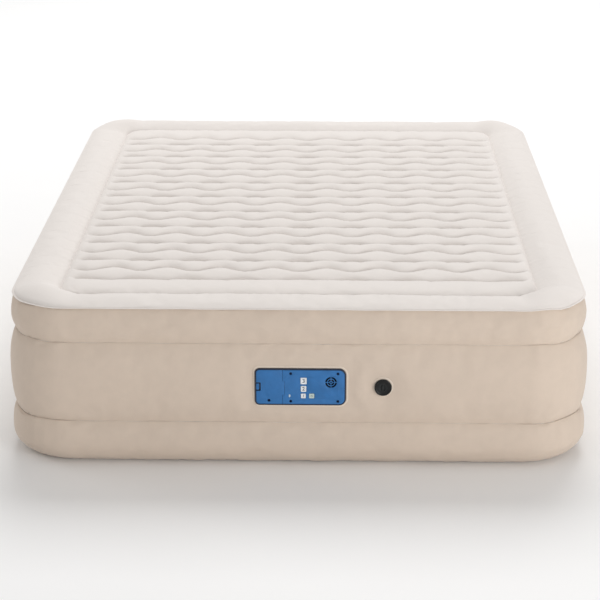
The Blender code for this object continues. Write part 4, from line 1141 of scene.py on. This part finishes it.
def screw(name):
    """A pan-head screw with a cross recess and a threaded shank."""
    low, high, middle = extent(name)
    head_front = low.y
    profile = []
    for share in (0.2, 0.45, 0.7, 0.88, 0.97):
        profile.append((HEAD_RADIUS * share, head_front + 0.0006 * (1 - math.sqrt(1 - share**2))))
    profile += [(HEAD_RADIUS, head_front + 0.0008), (HEAD_RADIUS, head_front + 0.0013)]
    profile += [(0.0014, head_front + 0.0013)]
    y = head_front + 0.0022
    while y < high.y - 0.0012:
        profile += [(0.0011, y), (0.0014, y + 0.0003), (0.0011, y + 0.0006)]
        y += 0.0009
    profile += [(0.0011, high.y - 0.0008), (0.0003, high.y)]
    made = turned(f"{name}_turned", middle.x, middle.z, profile, MATERIALS["screw_steel"], 28)
    arm, half = 0.0020, 0.00038
    for long_x, long_z in ((arm, half), (half, arm)):
        corner = (middle.x - long_x, head_front - 0.001, middle.z - long_z)
        cut(made, block("recess", corner, (middle.x + long_x, head_front + 0.0010, middle.z + long_z)))
    place(made, "root", "screw_steel", name)


def led_lens():
    low, high, middle = extent("led_lens")
    rings = []
    for grow, y in ((-0.0012, low.y - 0.0002), (-0.0005, low.y), (0, low.y + 0.0006), (0, high.y)):
        half_x, half_z = (high.x - low.x) / 2 + grow, (high.z - low.z) / 2 + grow
        rings.append(at_y(rounded_about(middle.x, middle.z, half_x, half_z, half_x * 0.95, 8), y))
    place(loft("led_lens_domed", rings, MATERIALS["light_lens"]), "root", "light_lens", "led_lens")


def outlet_spring():
    """A round-wire coil spring, which the disc presses together as it lifts; here it is built at rest."""
    low, high, middle = extent("outlet_valve_spring")
    wire, turns, turn_steps, travel = 0.00055, 5, 24, 0.0051
    radius = (high.x - low.x) / 2 - wire
    start, stop = low.y + wire, high.y - wire
    rings = []
    for step in range(turns * turn_steps + 1):
        angle = 2 * math.pi * step / turn_steps
        y = start + (stop - start) * step / (turns * turn_steps)
        ring = []
        for a, b in circle(radius, y, wire, 8):
            ring.append((middle.x + a * math.cos(angle), b, middle.z + a * math.sin(angle)))
        rings.append(ring)
    made = loft("outlet_valve_spring_coil", rings, MATERIALS["bright_steel"])
    place(made, "root", "bright_steel", "outlet_valve_spring")
    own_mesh(made)


# Inflation valve


def valve_cap():
    """A screw cap: knurled skirt, rolled rim, dished face with a raised finger grip, and its plug."""
    low, high, middle = extent("valve_cap")
    radius = (high.x - low.x) / 2
    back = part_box("valve_seal")[0].y - 0.0003
    front = low.y
    plug = 0.0105
    knurls = 36
    steps = knurls * 4

    def ring(base, y, depth=0.0):
        points = []
        for step in range(steps):
            a = 2 * math.pi * step / steps
            r = base - depth * (0.5 + 0.5 * math.cos(knurls * a))
            points.append((middle.x + r * math.cos(a), y, middle.z + r * math.sin(a)))
        return points

    dish = 0.0017
    face = [(0.001, dish), (radius - 0.0062, dish), (radius - 0.0052, dish - 0.0003)]
    face += [(radius - 0.0046, 0.0006), (radius - 0.0038, 0.0002), (radius - 0.0026, 0.0002)]
    face += [(radius - 0.0014, 0.0005), (radius - 0.0006, 0.0010)]
    rings = [ring(base, front + depth) for base, depth in face]
    rings += [ring(radius, y, 0.0004) for y in (front + 0.0017, back - 0.0006)]
    rings.append(ring(radius - 0.0003, back))
    rings += [ring(plug, back), ring(plug, back + 0.0082), ring(plug - 0.0008, high.y)]
    made = loft("valve_cap_moulding", rings, MATERIALS["valve_cap"])
    grip_half, grip_radius, grip_angle = 0.0034, 0.0150, math.radians(32)
    centre = grip_radius - grip_half
    outline = arc(middle.x - centre, middle.z, grip_radius, -grip_angle, grip_angle, 12)
    outline += arc(middle.x + centre, middle.z, grip_radius, math.pi - grip_angle, math.pi + grip_angle, 12)
    punch(made, outline, front + 0.0003, front + dish + 0.0006, "UNION")
    for side in (1, -1):
        turn = 0 if side > 0 else math.pi
        x = middle.x - side * centre
        groove = arc(x, middle.z, grip_radius + 0.0002, turn - grip_angle, turn + grip_angle, 12)
        groove += arc(x, middle.z, grip_radius + 0.0026, turn + grip_angle, turn - grip_angle, 12)
        punch(made, groove, front, front + dish + 0.0030)
    bevel(made, 0.0003, 2, math.radians(50))
    place(made, "valve_cap", "valve_plastic", "valve_cap")


def valve_socket():
    """The welded neck: its flange, its bore with a lead-in, and the seat of the flap."""
    low, high, middle = extent("valve_socket")
    flange = (high.x - low.x) / 2
    profile = [
        (0.0110, low.y + 0.0006),
        (0.0110, high.y - 0.0005),
        (0.0115, high.y),
        (0.0133, high.y),
        (0.0138, high.y - 0.0005),
        (0.0138, low.y + 0.0015),
        (flange - 0.0003, low.y + 0.0015),
        (flange, low.y + 0.0011),
        (flange, low.y + 0.0003),
        (flange - 0.0003, low.y),
        (0.0116, low.y),
    ]
    made = turned("valve_socket_moulding", middle.x, middle.z, profile, MATERIALS["valve_plastic"], 72, True)
    place(made, "root", "valve_plastic", "valve_socket")


# Across a weld lip: the share of its width, and the height there
LIP_SECTION = (
    (0, 0.0002), (0, 0.0010), (0.15, 0.0014), (0.5, 0.0013), (0.8, 0.0010), (1, 0.0004), (1, 0.0002)
)


def weld_lip(name, inner, outer):
    """A raised ring of vinyl round a welded-in fitting, from its inner and outer outlines."""
    rings = []
    for share, height in LIP_SECTION:
        outline = [(a[0] + (b[0] - a[0]) * share, a[1] + (b[1] - a[1]) * share) for a, b in zip(inner, outer)]
        rings.append(at_y(outline, PATCH_Y - height))
    place(loft(name, rings, MATERIALS["weld_lip"], closed=True), "root", "flocked_side")


def weld_lips():
    weld_lip("pump_weld_lip", flange_lip(0.0003), flange_lip(0.0058))
    socket = middle_of("valve_socket")
    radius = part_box("valve_cap")[1].x - middle_of("valve_cap").x
    inner, outer = (circle(socket.x, socket.z, radius + grow) for grow in (-0.0016, 0.0042))
    weld_lip("valve_weld_lip", inner, outer)


# Camera, floor and light


CAMERA_PLACE = (0.0907, -5.4805, 2.0041)
CAMERA_DIP = math.radians(19.04)  # below level
CAMERA_TURN = math.radians(1.062)


def camera():
    data = bpy.data.cameras.new("camera")
    data.lens = 112.3
    data.sensor_width = 36
    data.clip_end = 100
    made = bpy.data.objects.new("camera", data)
    made.location = CAMERA_PLACE
    made.rotation_euler = (QUARTER - CAMERA_DIP, 0, CAMERA_TURN)
    bpy.context.scene.collection.objects.link(made)
    bpy.context.scene.camera = made


def area_light(name, location, target, size, power):
    data = bpy.data.lights.new(name, "AREA")
    data.shape = "RECTANGLE"
    data.size, data.size_y = size
    data.energy = power
    made = bpy.data.objects.new(name, data)
    made.location = location
    direction = Vector(target) - Vector(location)
    made.rotation_euler = direction.to_track_quat("-Z", "Y").to_euler()
    bpy.context.scene.collection.objects.link(made)


FLOOR_HALF = 30
FLOOR_Z = -0.0004


def studio():
    world = bpy.data.worlds.new("studio")
    world.use_nodes = True
    background = world.node_tree.nodes["Background"]
    background.inputs["Color"].default_value = (1.0, 0.99, 0.98, 1)
    background.inputs["Strength"].default_value = 0.50
    bpy.context.scene.world = world
    bpy.context.scene.view_settings.view_transform = "Standard"
    floor = Surface("floor_paint", 0.7, Specular_IOR_Level=0.2)
    floor.colour(floor.mix(floor.noise(2.0), (0.90, 0.90, 0.90), (0.93, 0.93, 0.93)))
    corners = [(x * FLOOR_HALF, y * FLOOR_HALF, FLOOR_Z) for x, y in ((-1, -1), (1, -1), (1, 1), (-1, 1))]
    make("floor", corners, [(0, 1, 2, 3)], floor.material)
    area_light("key", (0.5, 5.6, 8.0), (0, 0.2, 0.4), (5.6, 5.6), 560)
    area_light("front_fill", (3.4, -4.9, 1.5), (0, 0, 0.2), (2.5, 1.4), 112)
    area_light("left_fill", (-4.6, 1.0, 1.8), (0, 0, 0.2), (2.0, 1.6), 26)


def keep_cad_pieces():
    """Gives each CAD piece that still shows its procedural material."""
    slots = {part["node"]: part["material_slot"] for part in frame["record"]["subparts"]}
    for name, made in frame["nodes"].items():
        if not made.hide_render:
            made.data.materials.clear()
            made.data.materials.append(MATERIALS[slots[name]])


camera()
studio()
bottom_sheet()
lower_band()
middle_band()
upper_band()
top_sheet()
beams()
divider("lower_divider_sheet")
divider("upper_divider_sheet")
pump_housing()
control_panel()
cord_door()
door_latch()
for button_name, button_text in BUTTONS.items():
    button(button_name, button_text)
for screw_name in SCREWS:
    screw(screw_name)
led_lens()
outlet_spring()
valve_cap()
valve_socket()
weld_lips()
keep_cad_pieces()
